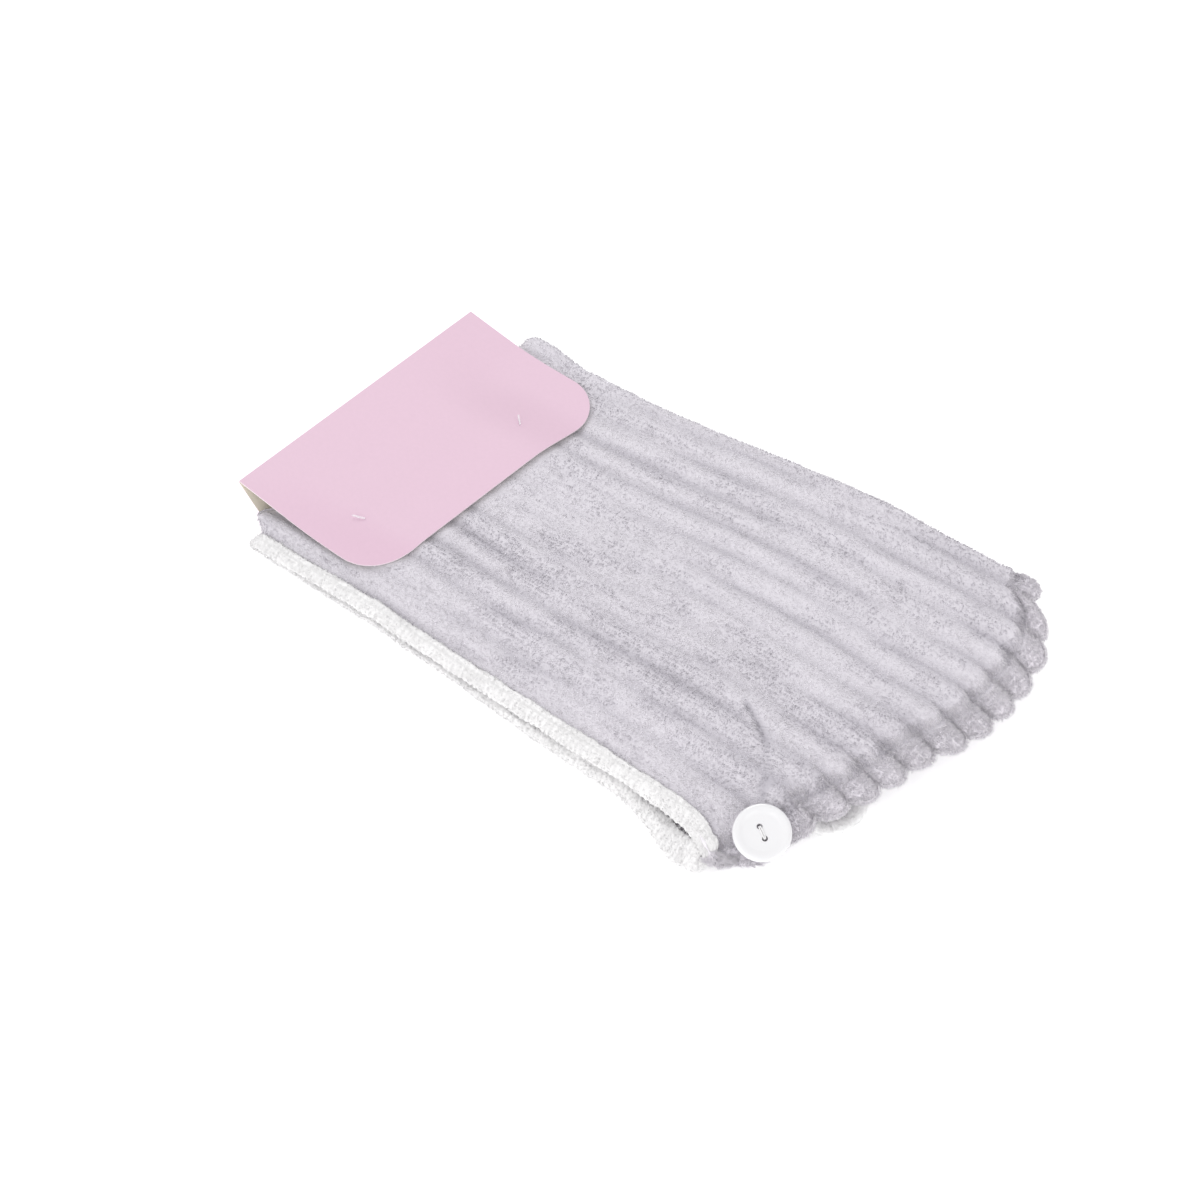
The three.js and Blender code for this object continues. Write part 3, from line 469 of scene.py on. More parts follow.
def bag_inside():
    """The bag's inner face, as the two layers leave it: wide at the mouth and a slit further in."""
    stretches = zip(STARTS[:-1], STARTS[1:])
    deep = np.concatenate([np.linspace(s, e, INNER_STRETCH, endpoint=False) for s, e in stretches])
    run = np.concatenate([INNER_ROWS, deep[deep > 40], [BAG_LENGTH - 3]])[::-1]
    left, right = sides_at(run)
    left, end = left + LAYER, right - HEM - SCALLOP * rib_at(run) - lerp(4, 62, step(run, 3, 14))
    x, face = bag_columns(left, end)
    y, z, ny, nz, top = (value[:, None] for value in route_at(run))
    x0, x1 = (side[:, None] for side in sides_at(run))
    upper, lower = top_panel(x, np.minimum(y, FAR_FOLD), x0, x1)
    half = np.maximum((upper - lower) / 2 - LAYER - 0.2, HOLLOW / 3)
    ends = np.sqrt(np.clip(np.minimum(x - left[:, None], end[:, None] - x) / 3, 0, 1))
    off = face * HOLLOW / 3 - SINK
    height = (upper + lower) / 2 - SINK * ease(run[:, None] / 12) + face * half * ends
    points = settle(x, np.where(top, y, y + ny * off) + 0 * x, np.where(top, height, z + nz * off))
    return {"points": points, "arc": arc_along(points, left), "run": run[:, None] + 0 * x}


def bag_rim(inner, outer):
    """The mouth's rim, from the inner face's edge to the outer face's, puffed out past the binding's end."""
    share = np.linspace(0, 1, RIM_ROWS)[:, None, None]
    a, b = inner["points"][-1], outer["points"][0]
    right = sides_at(np.zeros(1))[1]
    beyond = ease((b[:, 0] - right + HEM + 1) / 4)[None, :, None]
    puff = CORNER_PUFF * beyond * np.sin(np.pi * share**0.8)
    points = lerp(a, b, share) - puff * np.array([-0.3, 1, 0])
    arc = lerp(inner["arc"][-1], outer["arc"][0], share[..., 0])
    run = -3.0 * (1 - share[..., 0]) + 0 * arc
    return {"points": points, "arc": arc, "run": run, "out": grid_normals(points)}


def under_card(points):
    """Where the card's front flap lies over a point of the towel."""
    turn = math.radians(CARD_TURN)
    dx, dy = points[..., 0] + CARD_OVERHANG, points[..., 1] - CARD_FROM_MOUTH
    out, along = dx * math.cos(turn) - dy * math.sin(turn), dx * math.sin(turn) + dy * math.cos(turn)
    return (out < card_reach(along) + 0.5) & (along > -0.5) & (along < CARD_LENGTH + 0.5)


def card_reach(along):
    """From the card's fold to a flap's edge: the whole flap, less where its two corners are rounded."""
    near = np.clip(np.minimum(along, CARD_LENGTH - along), 0, CARD_CORNER)
    return CARD_FLAP - CARD_CORNER + np.sqrt(CARD_CORNER**2 - (CARD_CORNER - near) ** 2)


# Meshes


def on_part(points):
    return (points + PLAN_ORIGIN) * MM


def grid_quads(rows, columns, closed_rows=False):
    """Corner numbers of the quads of a grid whose points are counted row by row and whose rows are closed."""
    i, j = np.meshgrid(np.arange(rows if closed_rows else rows - 1), np.arange(columns), indexing="ij")
    k, m = (i + 1) % rows, (j + 1) % columns
    quads = [i * columns + j, i * columns + m, k * columns + m, k * columns + j]
    return np.stack(quads, -1).reshape(-1, 4)


def tube_faces(rows, columns):
    """Faces of a tube: quads from ring to ring and one face over each end."""
    last = (rows - 1) * columns
    ends = [list(range(columns))[::-1], list(range(last, last + columns))]
    return grid_quads(rows, columns).tolist() + ends


def tube_along(line, radius, sides):
    """Round tube on a line of points: circles square to the line, with flat ends."""
    way = unit(np.gradient(line, axis=0))
    side = unit(np.cross(way, [0.31, 0.2, 0.93]))
    angle = circle_angles(sides)[None, :, None]
    around = np.cos(angle) * side[:, None] + np.sin(angle) * np.cross(way, side)[:, None]
    return (line[:, None] + radius * around).reshape(-1, 3), tube_faces(len(line), sides)


def joined(tubes):
    """Points and faces of several tubes as one mesh."""
    points, faces = np.zeros((0, 3)), []
    for tube, more in tubes:
        faces += [[c + len(points) for c in face] for face in more]
        points = np.concatenate([points, tube])
    return points, faces


def mesh_piece(name, points, faces, material, uv=None, smooth=True, marks=None):
    """New object from points in millimetres and a list of faces. uv and marks hold a value for each point."""
    mesh = bpy.data.meshes.new(name)
    points = points.reshape(-1, 3)
    points[:, 2] = np.maximum(points[:, 2], 0)
    mesh.from_pydata(on_part(points).tolist(), [], [tuple(f) for f in faces])
    mesh.update()
    corner = np.zeros(len(mesh.loops), np.int32)
    mesh.loops.foreach_get("vertex_index", corner)
    if uv is not None:
        layer = mesh.uv_layers.new(name="UVMap")
        layer.data.foreach_set("uv", uv.reshape(-1, 2)[corner].astype(np.float32).ravel())
    for label, values in (marks or {}).items():
        mark = mesh.attributes.new(label, "FLOAT", "POINT")
        mark.data.foreach_set("value", values.astype(np.float32).ravel())
    mesh.polygons.foreach_set("use_smooth", np.full(len(mesh.polygons), smooth))
    for m in material if isinstance(material, (list, tuple)) else [material]:
        mesh.materials.append(m)
    return in_scene(name, mesh)


def in_scene(name, data):
    new = bpy.data.objects.new(name, data)
    bpy.context.scene.collection.objects.link(new)
    return new


def dressed(piece, slot, *nodes):
    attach(piece, "root")
    if nodes:
        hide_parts(*nodes)
    return piece


def even_style(shape, **values):
    """A strand style whose values are the same all over a grid."""
    return {name: np.full(shape, float(value)) for name, value in values.items()}


def pile_on(name, grid, weight, count, style, radius, material, seed):
    """Strands on a grid, each a thin three-sided spike with its root under the surface: more of them where
    the weight is large. Each leans by its place's lean and lie. Its tip is drawn to the middle of a clump.
    Its
    shade is painted: darker at its root, in the gaps between clumps, in scattered dark dashes and along the
    crease."""
    rng = np.random.default_rng(seed)
    points = grid["points"]
    across, ahead = np.roll(points, -1, 1) - points, np.roll(points, -1, 0) - points
    area = np.linalg.norm(np.cross(across, ahead), axis=-1)[:-1] * weight[:-1]
    area[:, -1] = 0
    chance = np.cumsum(area)
    index = np.searchsorted(chance, rng.random(count) * chance[-1])
    here = np.minimum(index // points.shape[1], len(points) - 2), index % points.shape[1]
    local = {key: values[here] for key, values in style.items()}
    s, t = rng.random(count), rng.random(count)
    at = points[here] + across[here] * t[:, None] + ahead[here] * s[:, None]
    u = grid["arc"][here] + np.linalg.norm(across[here], axis=1) * t
    v = grid["run"][here] + np.linalg.norm(ahead[here], axis=1) * s
    up = grid["out"][here]
    onward = unit(ahead[here])
    sideways = unit(across[here] - up * np.sum(across[here] * up, axis=1, keepdims=True))

    # From the root to the middle of its clump, and how near the gap to the next clump it is, for the painted
    # shade in the gaps.
    on_hem = local["radial"] > 0.5
    cell_u, cell_v = (np.where(on_hem, hem, rest) for hem, rest in zip(HEM_CLUMP, OPEN_CLUMP))
    jitter = np.random.default_rng(seed + 1).uniform(-0.35, 0.35, (3, LATTICE, LATTICE))
    cu, cv = np.floor(u / cell_u).astype(int), np.floor(v / cell_v).astype(int)
    shift_u, shift_v, tone = jitter[:, cu % LATTICE, cv % LATTICE]
    to_u, to_v = (cu + 0.5 + shift_u) * cell_u - u, (cv + 0.5 + shift_v) * cell_v - v
    gap = step(np.hypot(to_u / cell_u, to_v / cell_v), 0.36, 0.3)

    lie = local["lie"] + rng.normal(0, 0.22, count)
    lean = np.clip(local["lean"] + rng.normal(0, 0.12, count), 0.05, 1.5)
    length = (local["length"] * rng.uniform(0.6, 1.15, count))[:, None]
    flat = np.cos(lie)[:, None] * sideways + np.sin(lie)[:, None] * onward
    way = np.cos(lean)[:, None] * up + np.sin(lean)[:, None] * flat
    pull_u, pull_v = (local["clump"] * to_u)[:, None], (local["clump"] * to_v)[:, None]
    tip = at + way * length + pull_u * sideways + pull_v * onward
    way = unit(tip - at)
    side = unit(np.cross(way, up))
    third = np.cross(way, side)
    root = at - up * ROOT_DEPTH
    wide = (radius * rng.uniform(0.7, 1.25, count))[:, None]
    corners = [root + wide * (math.cos(a) * side + math.sin(a) * third) for a in STRAND_CORNERS]
    first = 4 * np.arange(count)[:, None]
    faces = np.concatenate([first + f for f in ([0, 1, 3], [1, 2, 3], [2, 0, 3], [2, 1, 0])])
    uv = np.repeat(np.stack([u, v], -1)[:, None] / 1000, 4, 1)

    # Painted shade: a random tone per strand and per clump, darker in the gaps between clumps, in the dark
    # dashes and along the crease's line; the root corners are darker still by the depth.
    end = local["shade"] + rng.normal(0, 0.2, count) * local["depth"]
    end = end + local["tufts"] * (gap - 0.3 + 0.6 * tone)
    if "shade_dash" in style:
        half = 0.5 * np.sin(lean) * length[:, 0]
        next_x = np.roll(grid["x"], -1, 1) - grid["x"]
        x = grid["x"][here] + next_x[here] * t + half * np.cos(lie)
        line = crease_line(x, v + half * np.sin(lie))
        end = end + local["shade_dash"] * (rng.random(count) < SHADE_DASH_SHARE) + local["crease"] * line
    end = np.clip(end, 0, 1)
    shade = np.stack([np.clip(end + local["depth"], 0, 1)] * 3 + [end], -1)
    strands = np.stack([*corners, tip], 1)
    return mesh_piece(name, strands, faces.tolist(), material, uv, marks={"valley": shade})


def knit_fuzz(name, slot, grid, lie, lean, length, count, radius, cloth, seed):
    """Short fuzz all over a knitted piece."""
    # Painted shade: darker at the roots and a little in the gaps between tufts.
    style = even_style(
        lie.shape, lean=lean, clump=0.4, length=length, shade=0.05, depth=0.35, tufts=0.1, radial=0
    )
    strands = pile_on(name, grid, np.ones(lie.shape), count, {"lie": lie, **style}, radius, cloth, seed)
    dressed(strands, slot)


# Materials


def plug(tree, socket, value):
    """Links a socket to another one, or sets its own value."""
    if isinstance(value, bpy.types.NodeSocket):
        tree.links.new(value, socket)
    else:
        socket.default_value = value


def node(tree, kind, output, **values):
    """Adds a shader node with its inputs plugged by name, and gives its named output."""
    new = tree.nodes.new("ShaderNode" + kind)
    if kind == "Mix" and "Colour" in output:
        new.data_type = "RGBA"
    for label, value in values.items():
        plug(tree, new.inputs[label.replace("_", " ")], value)
    return new.outputs[output.replace("Colour ", "")]


def pile_group():
    """Brushed pile: fine grain that is stretched along the ribs, long streaks and broad patches where it
    lies another way. Puts out the grain and the mixed patches as masks, and a height for bumps."""
    if "brushed_pile" in bpy.data.node_groups:
        return bpy.data.node_groups["brushed_pile"]
    tree = bpy.data.node_groups.new("brushed_pile", "ShaderNodeTree")
    tree.interface.new_socket(name="Vector", in_out="INPUT", socket_type="NodeSocketVector")
    for label, value in (("Grain", 900.0), ("Patch", 45.0), ("Streak", 0.0)):
        socket = tree.interface.new_socket(name=label, in_out="INPUT", socket_type="NodeSocketFloat")
        socket.default_value = value
    for label in ("Grain", "Patch", "Height"):
        tree.interface.new_socket(name=label, in_out="OUTPUT", socket_type="NodeSocketFloat")
    given, out = tree.nodes.new("NodeGroupInput").outputs, tree.nodes.new("NodeGroupOutput").inputs
    place, scale = given["Vector"], given["Grain"]
    grain = node(tree, "TexNoise", "Fac", Vector=place, Scale=scale, Detail=4, Roughness=0.7)
    patch = node(tree, "TexNoise", "Fac", Vector=place, Scale=given["Patch"], Detail=3)
    gap = node(tree, "TexVoronoi", "Distance", Vector=place, Scale=scale)
    long_way = node(tree, "Mapping", "Vector", Vector=place, Scale=(0.12, 1, 1))
    streak = node(tree, "TexNoise", "Fac", Vector=long_way, Scale=scale, Detail=2)
    height = tree.nodes.new("ShaderNodeMath")
    height.operation = "MULTIPLY_ADD"
    for socket, value in zip(height.inputs, (gap, 0.6, grain)):
        plug(tree, socket, value)
    plug(tree, out["Grain"], grain)
    plug(tree, out["Patch"], node(tree, "Mix", "Result", Factor=given["Streak"], A=patch, B=streak))
    plug(tree, out["Height"], height.outputs[0])
    return tree


def shader(name, colour, roughness, **weights):
    """New material with a Principled shader whose plain values are set on its own sockets."""
    made = bpy.data.materials.new(name)
    made.use_nodes = True
    made.diffuse_color = (*colour, 1)
    surface = made.node_tree.nodes["Principled BSDF"].inputs
    surface["Base Color"].default_value = (*colour, 1)
    surface["Roughness"].default_value = roughness
    for label, value in weights.items():
        surface[label.replace("_", " ")].default_value = value
    return made, made.node_tree, surface


def times(colour, by):
    """A colour lighter or darker by a factor, at most white."""
    return tuple(min(c * by, 1) for c in colour)


def two_tone(tree, mask, colour, low, high):
    """The colour times a low factor where the mask is nought and a high one where it is one."""
    tones = {"A": (*times(colour, low), 1), "B": (*times(colour, high), 1)}
    return node(tree, "Mix", "Colour Result", Factor=mask, **tones)


def bump(tree, surface, height, strength, distance):
    normal = node(tree, "Bump", "Normal", Height=height, Strength=strength, Distance=distance)
    plug(tree, surface["Normal"], normal)


def fine_noise(tree, scale, detail):
    """Noise on the piece's own coordinates."""
    place = node(tree, "TexCoord", "Object")
    return node(tree, "TexNoise", "Fac", Vector=place, Scale=scale, Detail=detail)


def cloth_material(name, colour, dark, bumps, grain=900.0, patch=45.0, stretch=(1, 1, 1), streak=0.0):
    """Cloth with pile: a darker colour mixed in by the valley attribute as painted shade, patches of random
    tone and bumps that shade the gaps of the grain, on the piece's own UV.
    """
    made, tree, surface = shader(
        name, colour, 0.95, Sheen_Weight=0.35, Sheen_Roughness=0.45, Specular_IOR_Level=0.15
    )
    pile = tree.nodes.new("ShaderNodeGroup")
    pile.node_tree = pile_group()
    place = node(tree, "Mapping", "Vector", Vector=node(tree, "TexCoord", "UV"), Scale=stretch)
    for label, value in (("Grain", grain), ("Patch", patch), ("Streak", streak), ("Vector", place)):
        plug(tree, pile.inputs[label], value)
    mask = node(tree, "MapRange", "Result", Value=pile.outputs["Patch"], From_Min=0.35, From_Max=0.65)
    valley = tree.nodes.new("ShaderNodeAttribute")
    valley.attribute_name = "valley"
    base = two_tone(tree, mask, colour, 0.93, 1.05)
    # Painted shade: the valley attribute mixes in the dark colour.
    shaded = node(tree, "Mix", "Colour Result", Factor=valley.outputs["Fac"], A=base, B=(*dark, 1))
    plug(tree, surface["Base Color"], shaded)
    bump(tree, surface, pile.outputs["Height"], bumps, 0.0006)
    return made


def card_material(name, colour, coat):
    """Card: a smooth coated face with the faint mottle of its fibres."""
    made, tree, surface = shader(name, colour, 0.5, Coat_Weight=coat, Coat_Roughness=0.35)
    fibres = fine_noise(tree, 600, 5)
    plug(tree, surface["Base Color"], two_tone(tree, fibres, colour, 0.97, 1.03))
    bump(tree, surface, fibres, 0.08, 0.0002)
    return made


def scuffed_material(name, colour, roughness, scale, detail, scuffs, **weights):
    """Smooth material with faint scuffs in its roughness, between two values."""
    made, tree, surface = shader(name, colour, roughness, **weights)
    low, high = scuffs
    rough = node(tree, "MapRange", "Result", Value=fine_noise(tree, scale, detail), To_Min=low, To_Max=high)
    plug(tree, surface["Roughness"], rough)
    return made


# Settings


def colour_property(name, description, value):
    return bpy.props.FloatVectorProperty(
        name=name, description=description, subtype="COLOR", size=3, min=0, max=1, default=value
    )


def length_property(name, description, value):
    return bpy.props.FloatProperty(name=name, description=description, default=value, unit="LENGTH")


def angle_property(name, description, degrees):
    return bpy.props.FloatProperty(
        name=name, description=description, default=math.radians(degrees), subtype="ANGLE"
    )


class TowelSettings(bpy.types.PropertyGroup):
    fleece: colour_property("Fleece", "Colour of the fleece", (0.9, 0.867, 0.914))
    # valley: painted shade, the darker colour that the valley attribute mixes into the fleece between ribs,
    # by the seam, along the crease and in the pile's gaps
    valley: colour_property("Valleys", "Colour of the fleece between two ribs", (0.47, 0.45, 0.495))
    knit: colour_property("Binding", "Colour of the binding and the loop", (0.84, 0.83, 0.835))
    rib_depth: length_property("Rib depth", "Depth of the valley between two ribs", 1.3 * MM)
    pile_length: length_property("Pile length", "Length of a strand of the pile", 2.2 * MM)


class ButtonSettings(bpy.types.PropertyGroup):
    resin: colour_property("Resin", "Colour of the button", (0.75, 0.745, 0.76))
    diameter: length_property("Diameter", "Outside diameter of the button", 23.3 * MM)


class CardSettings(bpy.types.PropertyGroup):
    face: colour_property("Face", "Colour of the card's outside", (0.63, 0.435, 0.54))
    # The inside's colour is its own cream, lifted to offset the shade between the flaps: partly painted
    # light.
    inside: colour_property("Inside", "Colour of the card's inside", (0.86, 0.8, 0.7))
    edge: colour_property("Edge", "Colour of the card's cut edges", (0.8, 0.68, 0.74))


class StageSettings(bpy.types.PropertyGroup):
    floor: colour_property("Floor", "Colour of the floor", (0.95, 0.95, 0.95))
    distance: length_property("Camera distance", "From the camera to the towel", 2.033)
    elevation: angle_property("Elevation", "Camera's angle above the floor", 48)
    azimuth: angle_property("Azimuth", "Camera's angle round the towel", 39.8)


# Operators


class AddFleece(bpy.types.Operator):
    """Adds the folded fleece bag: a closed grid that runs up the inside, round the mouth's rim and down the
    outside to the tail"""

    bl_idname = "towel.add_fleece"
    bl_label = "Fleece bag"

    def execute(self, context):
        look = context.scene.towel_look
        outer, inner = bag_outside(look), bag_inside()
        rim = {key: value[1:-1] for key, value in bag_rim(inner, outer).items()}
        grids = (inner, rim, outer)
        points, arc, run = (np.concatenate([g[key] for g in grids]) for key in ("points", "arc", "run"))
        left, right = sides_at(outer["run"][:, 0])
        # Painted shade on the cloth under the pile: on the top, its marks plus a dark base for the shade
        # among the strands, fading out at the seam's edge; elsewhere a faint tint.
        deep = np.clip(outer["mark"] + 0.55, 0, 1) * step(right[:, None] - outer["x"], 1, 12)
        pale = np.full((len(points) - len(outer["arc"]), points.shape[1]), 0.1)
        valley = np.concatenate([pale, np.where(outer["top"], 0.05 + 0.9 * deep, 0.05)])
        along_ribs = (0.45, 1, 1)
        cloth = cloth_material("ribbed_fleece", look.fleece, look.valley, 0.5, stretch=along_ribs, streak=0.5)
        uv = np.stack([arc, run], -1) / 1000
        faces = tube_faces(*points.shape[:2])
        bag = mesh_piece("fleece_bag", points, faces, cloth, uv, marks={"valley": valley})
        dressed(bag, "fleece", "towel_body")
        return {"FINISHED"}


class AddPile(bpy.types.Operator):
    """Adds the brushed pile that stands on the fleece"""

    bl_idname = "towel.add_pile"
    bl_label = "Pile"

    COUNTS = {"pile_mouth_half": 44000, "pile_far_half": 44000, "pile_seam_side": 44000, "pile_rest": 9000}
    CORNER_COUNT = 4000
    CORNER_LENGTH = 2.7
    STRAND_RADIUS, CORNER_RADIUS = 0.17, 0.2
    # Degrees from upright: on the ribs, in rough patches, on the hem and under the card.
    LEAN_BRUSHED, LEAN_ROUGH, LEAN_HEM, LEAN_COVERED = 79, 52, 46, 84

    def execute(self, context):
        look = context.scene.towel_look
        bag = bag_outside(look)
        run, x, arc, face = bag["run"], bag["x"], bag["arc"], bag["face"]
        left, right = (side[:, None] for side in sides_at(run[:, 0]))
        before_bottom, on_top = run <= STARTS[2], bag["top"]
        covered = under_card(bag["points"])
        near_crease = crease_line(x, run) * on_top

        # Where the strands of each piece grow.
        seam_side = (right - x < HEM + 6) & (before_bottom | (right - x < 9))
        open_top = np.where(covered, 0.1, 1.0) * on_top * ~seam_side
        half = run < FAR_FOLD * 0.5
        bottom = (run > STARTS[2]) & (run < STARTS[3]) & (face > 0)
        outside = ((x - left < 7) & ~on_top) * 0.5 + bottom * 0.12
        weights = {
            "pile_mouth_half": open_top * half,
            "pile_far_half": open_top * ~half,
            "pile_seam_side": seam_side * np.where(on_top | ((right - x < 2.5) & before_bottom), 1.0, 0.15),
            "pile_rest": outside * ~seam_side,
        }

        # How they lie: brushed flat on the ribs, rough in patches, spread like a fan on each scallop.
        phase = (run / RIB_PITCH) % 1 * 2 - 1
        hem = ease((x - right + HEM + 3) / 5)
        rough = ease((cloud(arc / 26, run / 8, 31, 3) + 0.5 * (rib_at(run) - 0.75) + 0.08) / 0.3)
        turn = 0.45 * cloud(arc / 55, run / 15, 21, 2)
        turn = lerp(turn, -1.5 + 1.1 * cloud(arc / 11, run / 7, 25, 2), rough)
        lean = np.radians(lerp(lerp(self.LEAN_BRUSHED, self.LEAN_ROUGH, rough), self.LEAN_HEM, hem))
        patch = 0.17 * cloud(arc / 30, run / 6, 61, 3)
        short = lerp(1.0 - 0.35 * rough, 0.85, hem) * (1 - 0.75 * near_crease)
        # Painted shade on the strands: darker in the valleys, the seam's pits and along the crease, at their
        # roots, in scattered dark dashes and in the gaps between tufts; the patch is a random tone.
        style = {
            "lie": lerp(turn, phase * 0.9, hem) + np.where(face < 0, np.pi, 0),
            "lean": np.where(covered, math.radians(self.LEAN_COVERED), lean),
            "clump": lerp(0.05 + 0.55 * rough, 0.45, hem),
            "length": look.pile_length / MM * short,
            "shade": np.clip(0.03 + patch + 0.34 * bag["mark"] * (1 - 0.75 * hem), 0, 1),
            "depth": lerp(0.1 + 0.45 * rough, 0.12, hem),
            "shade_dash": lerp(0.05 + 0.8 * rough, 0.25, hem),
            "tufts": lerp(0.08 + 0.5 * rough, 0.36, hem),
            "radial": hem,
            "crease": 1.0 * on_top,
        }
        cloth = bpy.data.materials["ribbed_fleece"]
        self.corner(bag, right[0], cloth)
        for number, (name, count) in enumerate(self.COUNTS.items()):
            weight = weights[name] * (1 - 0.85 * near_crease)
            strands = pile_on(name, bag, weight, count, style, self.STRAND_RADIUS, cloth, 100 + number)
            dressed(strands, "fleece")
        return {"FINISHED"}

    def corner(self, bag, right, cloth):
        """The longer, looser strands on the rim beyond the binding's end."""
        rim = bag_rim(bag_inside(), bag)
        weight = ease((rim["points"][..., 0] - right + HEM + 1) / 2)
        # Painted shade: a little at the roots and more in the gaps between tufts.
        style = even_style(
            weight.shape, lean=0.8, clump=0.5, length=self.CORNER_LENGTH,
            shade=0, depth=0.06, tufts=0.36, radial=1,
        )
        style["lie"] = 1.5 * cloud(rim["arc"] / 9, rim["run"] / 2, 91, 2)
        count, radius = self.CORNER_COUNT, self.CORNER_RADIUS
        dressed(pile_on("pile_mouth_corner", rim, weight, count, style, radius, cloth, 99), "fleece")


class AddBinding(bpy.types.Operator):
    """Adds the knitted band round the mouth"""

    bl_idname = "towel.add_binding"
    bl_label = "Binding"

    STEPS, SIDES, END_STEPS = 420, 28, 16
    SQUARENESS = 0.75

    def line(self):
        """The mouth's edge as a closed line: along the upper layer, half round the seam end, back along the
        lower layer, half round the folded end, with the direction that looks out of it."""
        left, right = (side[0] for side in sides_at(np.zeros(1)))
        start = left + BAND_BEND + LAYER * 0.4
        end = right - HEM - BAND_BEND
        middle = MOUTH_FLOOR_GAP + MOUTH_HEIGHT * MOUTH_MIDDLE
        run = np.linspace(start, end, self.STEPS)
        upper, lower = top_panel(run, np.zeros_like(run), left, right)
        above = np.maximum(upper - LAYER / 2, middle + BAND_BEND)
        below = np.minimum(np.maximum(lower + LAYER / 2, BAND_THICK / 2), middle - BAND_BEND)
        angle = np.linspace(0, np.pi, self.END_STEPS)[1:-1]
        around, height = np.sin(angle) * BAND_BEND, np.cos(angle) * BAND_BEND
        x = np.concatenate([run, end + around, run[::-1], start - around])
        z = np.concatenate([above, middle + height, below[::-1], middle - height])
        nx = np.concatenate([0 * run, np.sin(angle), 0 * run, -np.sin(angle)])
        nz = np.concatenate([1 + 0 * run, np.cos(angle), -1 + 0 * run, -np.cos(angle)])
        return x, z, nx, nz

    def execute(self, context):
        """Carries a squarish ring round the mouth's edge, swollen by its stitches and by noise, with teeth on
        its inner side and thicker inwards on the lower layer by the seam."""
        look = context.scene.towel_look
        x, z, nx, nz = (value[:, None] for value in self.line())
        angle = circle_angles(self.SIDES)[None, :]
        across, up = (fuller(wave(angle), self.SQUARENESS) for wave in (np.cos, np.sin))
        steps = np.hypot(np.diff(x[:, 0], prepend=x[0, 0]), np.diff(z[:, 0], prepend=z[0, 0]))
        length = np.cumsum(steps)[:, None]
        knit = 0.1 * np.sin(2 * np.pi * length / STITCH + 0.6 * np.sin(3 * angle))
        puff = 0.3 * cloud(length / 9, angle * 1.2, 41) + 0.2 * cloud(length / 3, angle * 2, 45)
        swell = 1 + (knit + puff) / (BAND_THICK / 2)
        teeth = 0.3 * np.sin(2 * np.pi * length / STITCH) * np.clip(-up, 0, 1)
        ahead = BAND_GAP - 0.35 + teeth + (BAND_WIDTH / 2 + 0.15) * (1 + up * swell)
        inward = np.where(across < 0, 1 + 1.6 * ease((-nz + 1) / 2) * step(x, 60, 120), 1)
        out = BAND_THICK / 2 * across * swell * inward
        points = settle(x + nx * out, -ahead, z + nz * out)
        uv = np.stack([length + 0 * angle, angle * 3 + 0 * length], -1) / 1000
        faces = grid_quads(len(points), points.shape[1], closed_rows=True)
        # Painted shade: darker where the stitches dip.
        mark = np.clip(0.5 - knit * 4, 0, 1) * 0.35 + 0 * points[..., 0]
        cloth = cloth_material("white_knit", look.knit, times(look.knit, 0.75), 0.5, 1100, 90)
        band = mesh_piece("binding", points, faces.tolist(), cloth, uv, marks={"valley": mark})
        dressed(band, "knit", "opening_binding")
        grid = {
            "points": points, "out": grid_normals(points), "arc": arc_along(points, 0 * length[:, 0]),
            "run": length + 0 * angle,
        }
        lie = 3.0 * cloud(length / 8, angle / 1.5, 71, 2)
        knit_fuzz("binding_pile", "knit", grid, lie, 0.75, 1.0, 20000, 0.17, cloth, 200)
        return {"FINISHED"}


